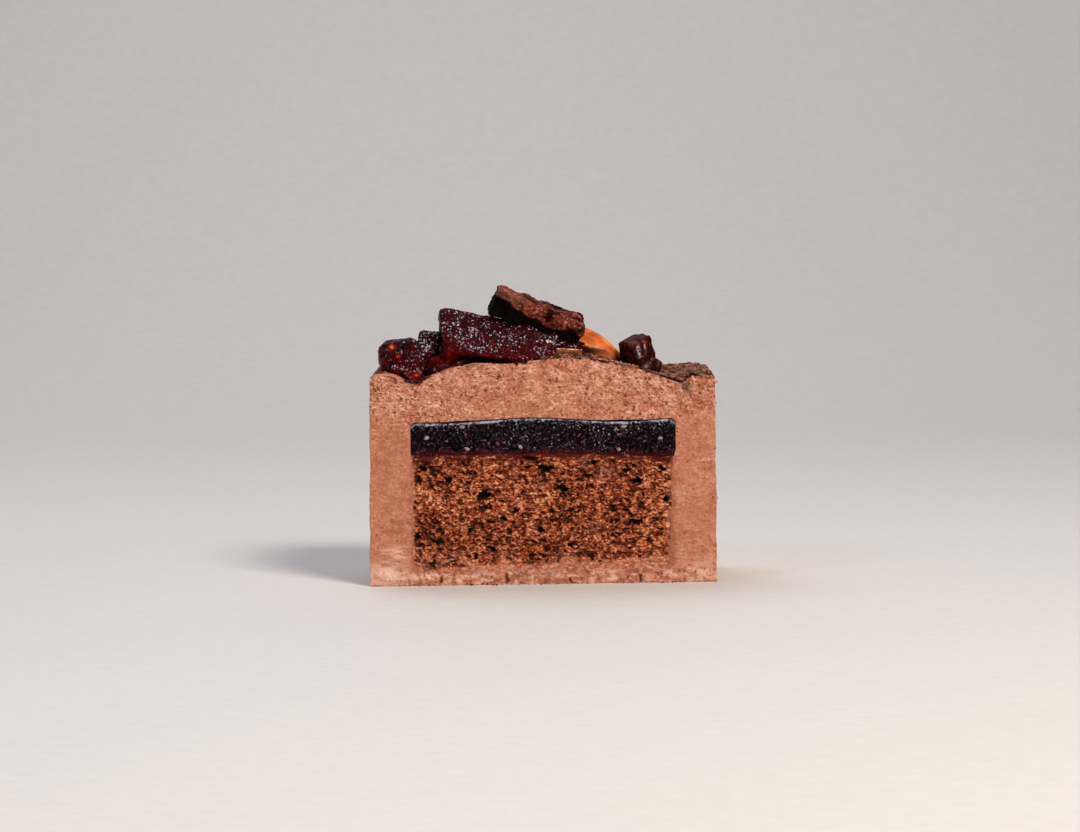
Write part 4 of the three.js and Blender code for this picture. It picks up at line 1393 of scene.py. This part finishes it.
def caramel_block():
    """The caramel, with a highlight painted along its upper front edge."""
    points, faces, box, out = rounded_block(CARAMEL, 0.14, caramel_skin)
    # Painted highlight along the upper front edge.
    front_edge = spot(out[:, 1], out[:, 2], -0.75, 0.75, 0.35, 0.35)
    return points, faces, {"painted_highlight": front_edge * smooth(fractal(box, 2.2, 202, 2), -0.5, 0.3)}


def chocolate_blocks():
    """The two chunks of chocolate as one piece, with highlights painted on the ridges that face
    the viewer and the lamps, faint on the small chunk."""
    parts, ridges = [], []
    for block, bright in zip(CHUNK, (1, 0.25)):
        points, faces, box, out = rounded_block(block, 0.18, broken_skin)
        parts.append((points, faces))
        bent = box[:, 0] + 0.3 * noise(box, 1.2, 213)
        ridge = spots(bent, box[:, 2], RIDGES)
        ridge = ridge + 0.1 * smooth(fractal(box, 1.3, 214, 2), 0.3, 0.7)
        ridges.append(ridge * smooth(-out[:, 1] + 0.6 * out[:, 2], 0.3, 0.8) * bright)
    return *joined(parts), {"ridge": np.concatenate(ridges)}


def dress_cake():
    """Makes every piece of the cake from a table of its name, its surface, its material, its slot
    and the solid that it replaces where there is one."""
    mousse, cocoa, fruit_jelly = mousse_material(), cocoa_material(), fruit_jelly_material()
    seeds = seed_material("berry_seeds", "#6b5552", "#b89d96")
    flecks = seed_material("berry_flecks", "#5a1411", "#962f20")
    for name, surface, material, slot, replaced in (
        ("mousse_block", mousse_shell(), mousse, "mousse", ["mousse"]),
        ("sponge_cut", sponge_face(), sponge_material(), "sponge", ["sponge"]),
        ("jelly_layer_cut", jelly_face(), jelly_layer_material(), "jelly_layer", ["jelly_layer"]),
        ("cocoa_dusting", cocoa_sheet(), cocoa, "chocolate", []),
        ("cocoa_crumbs", crumbs_of_cocoa(), cocoa, "chocolate", []),
        ("mousse_crumbs", crumbs_of_mousse(), mousse, "mousse", []),
        ("berry_seeds", (*ovals(SEEDS, 0.08, 0.7, 151), {}), seeds, "jelly_layer", []),
        ("berry_flecks", (*ovals(FLECKS, 0.08, 0.7, 151), {}), flecks, "jelly_layer", []),
        (
            "jelly_bar_skin", jelly_blocks([JELLY_BAR], 0.24, 140),
            fruit_jelly, "fruit_jelly", ["jelly_bar"],
        ),
        (
            "jelly_lump_skin", jelly_blocks(JELLY_LUMP, 0.24, 140),
            fruit_jelly, "fruit_jelly", ["jelly_lump"],
        ),
        ("jelly_drips", jelly_drips(), fruit_jelly, "fruit_jelly", []),
        (
            "jelly_scrap_skin", jelly_blocks([JELLY_SCRAP], 0.16, 120),
            fruit_jelly, "fruit_jelly", ["jelly_scrap"],
        ),
        ("brownie_crust", brownie_block(), brownie_material(), "brownie", ["brownie_piece"]),
        ("almond_skin", almond_shell(), almond_material(), "almond", ["almond"]),
        ("caramel_block", caramel_block(), caramel_material(), "caramel", ["caramel_cube"]),
        (
            "chocolate_broken", chocolate_blocks(),
            chocolate_material(), "chocolate", ["chocolate_chunk"],
        ),
    ):
        points, faces, attributes = surface
        make_piece(name, points, faces, material, slot, replaced, **attributes)


# ------------------------------------------------------------------ floor, light and camera

# Area lights: name, place in metres, width in metres, power in watts and colour.
LAMPS = [
    ("key", (0.42, -0.66, 0.74), 0.3, 9.4, "#fff4e8"),
    ("fill", (-0.6, -0.6, 0.75), 0.16, 1.3, "#dbe6ff"),
    ("back", (-0.2, 0.35, 0.9), 0.6, 4.0, "#f2f4ff"),
]
LAMP_TARGET = Vector((0, 0, 0.04))
CAMERA_AT = Vector((5.22, -858.91, 102.12)) * MM
CAMERA_ANGLES = 0.41, 4.14, -0.35  # to the left, downwards and rolled, in degrees
FOCAL_LENGTH, SENSOR_WIDTH = 114.67, 36  # mm


def link(name, data):
    """A new object in the scene."""
    new = bpy.data.objects.new(name, data)
    bpy.context.scene.collection.objects.link(new)
    return new


def floor_and_wall():
    """A plain pale floor that sweeps up in a quarter circle into a wall behind the cake."""
    reach, bend_from, radius = 3, 0.45, 0.5  # metres
    mesh = bpy.data.meshes.new("floor")
    arc = np.linspace(0, np.pi / 2, 33)
    bend = zip(bend_from + radius * np.sin(arc), radius - radius * np.cos(arc))
    profile = [(-reach, 0), *bend, (bend_from + radius, reach)]
    points = [(side, y, z) for side in (-reach, reach) for y, z in profile]
    faces = grid_faces(np.arange(len(points)).reshape(2, -1))[:, ::-1]
    mesh.from_pydata(points, [], faces.tolist())
    mesh.polygons.foreach_set("use_smooth", [True] * len(mesh.polygons))
    material, tree, place = begin("pale_floor")
    cloud = add(tree, "TexNoise", [place, spacing(4), 2])
    colour = add(tree, "ValToRGB", [cloud], [(0.3, "#dcd9d5"), (0.7, "#e0ddd9")])
    mesh.materials.append(finished(material, colour, 0.7))
    floor = link("floor", mesh)


def lights():
    """Soft area lights that look at the cake, and a faint cool surrounding light."""
    world = bpy.data.worlds.new("studio")
    bpy.context.scene.world = world
    world.use_nodes = True
    background = next(n for n in world.node_tree.nodes if n.type == "BACKGROUND")
    background.inputs["Color"].default_value = paint("#d9dce0")
    background.inputs["Strength"].default_value = 0.1
    for name, place, size, power, colour in LAMPS:
        light = bpy.data.lights.new(name, "AREA")
        light.size = size
        light.energy = power
        light.color = paint(colour)[:3]
        lamp = link(name, light)
        lamp.location = place
        lamp.rotation_mode = "QUATERNION"
        lamp.rotation_quaternion = (LAMP_TARGET - Vector(place)).to_track_quat("-Z", "Y")


def camera():
    """A camera where the photograph was taken from."""
    lens = bpy.data.cameras.new("camera")
    lens.sensor_width = SENSOR_WIDTH
    lens.lens = FOCAL_LENGTH
    lens.clip_start, lens.clip_end = 0.05, 20
    azimuth, pitch, roll = (math.radians(a) for a in CAMERA_ANGLES)
    level = math.cos(pitch)
    ahead = Vector((-math.sin(azimuth) * level, math.cos(azimuth) * level, -math.sin(pitch)))
    right = Vector((math.cos(azimuth), math.sin(azimuth), 0))
    up = right.cross(ahead)
    axis_x = math.cos(roll) * right + math.sin(roll) * up
    axis_y = -math.sin(roll) * right + math.cos(roll) * up
    turn = Matrix((axis_x, axis_y, -ahead)).transposed().to_4x4()
    turn.translation = CAMERA_AT
    seen_from = link("camera", lens)
    seen_from.matrix_world = turn
    bpy.context.scene.camera = seen_from
    bpy.context.scene.view_settings.view_transform = "Standard"


dress_cake()
floor_and_wall()
lights()
camera()
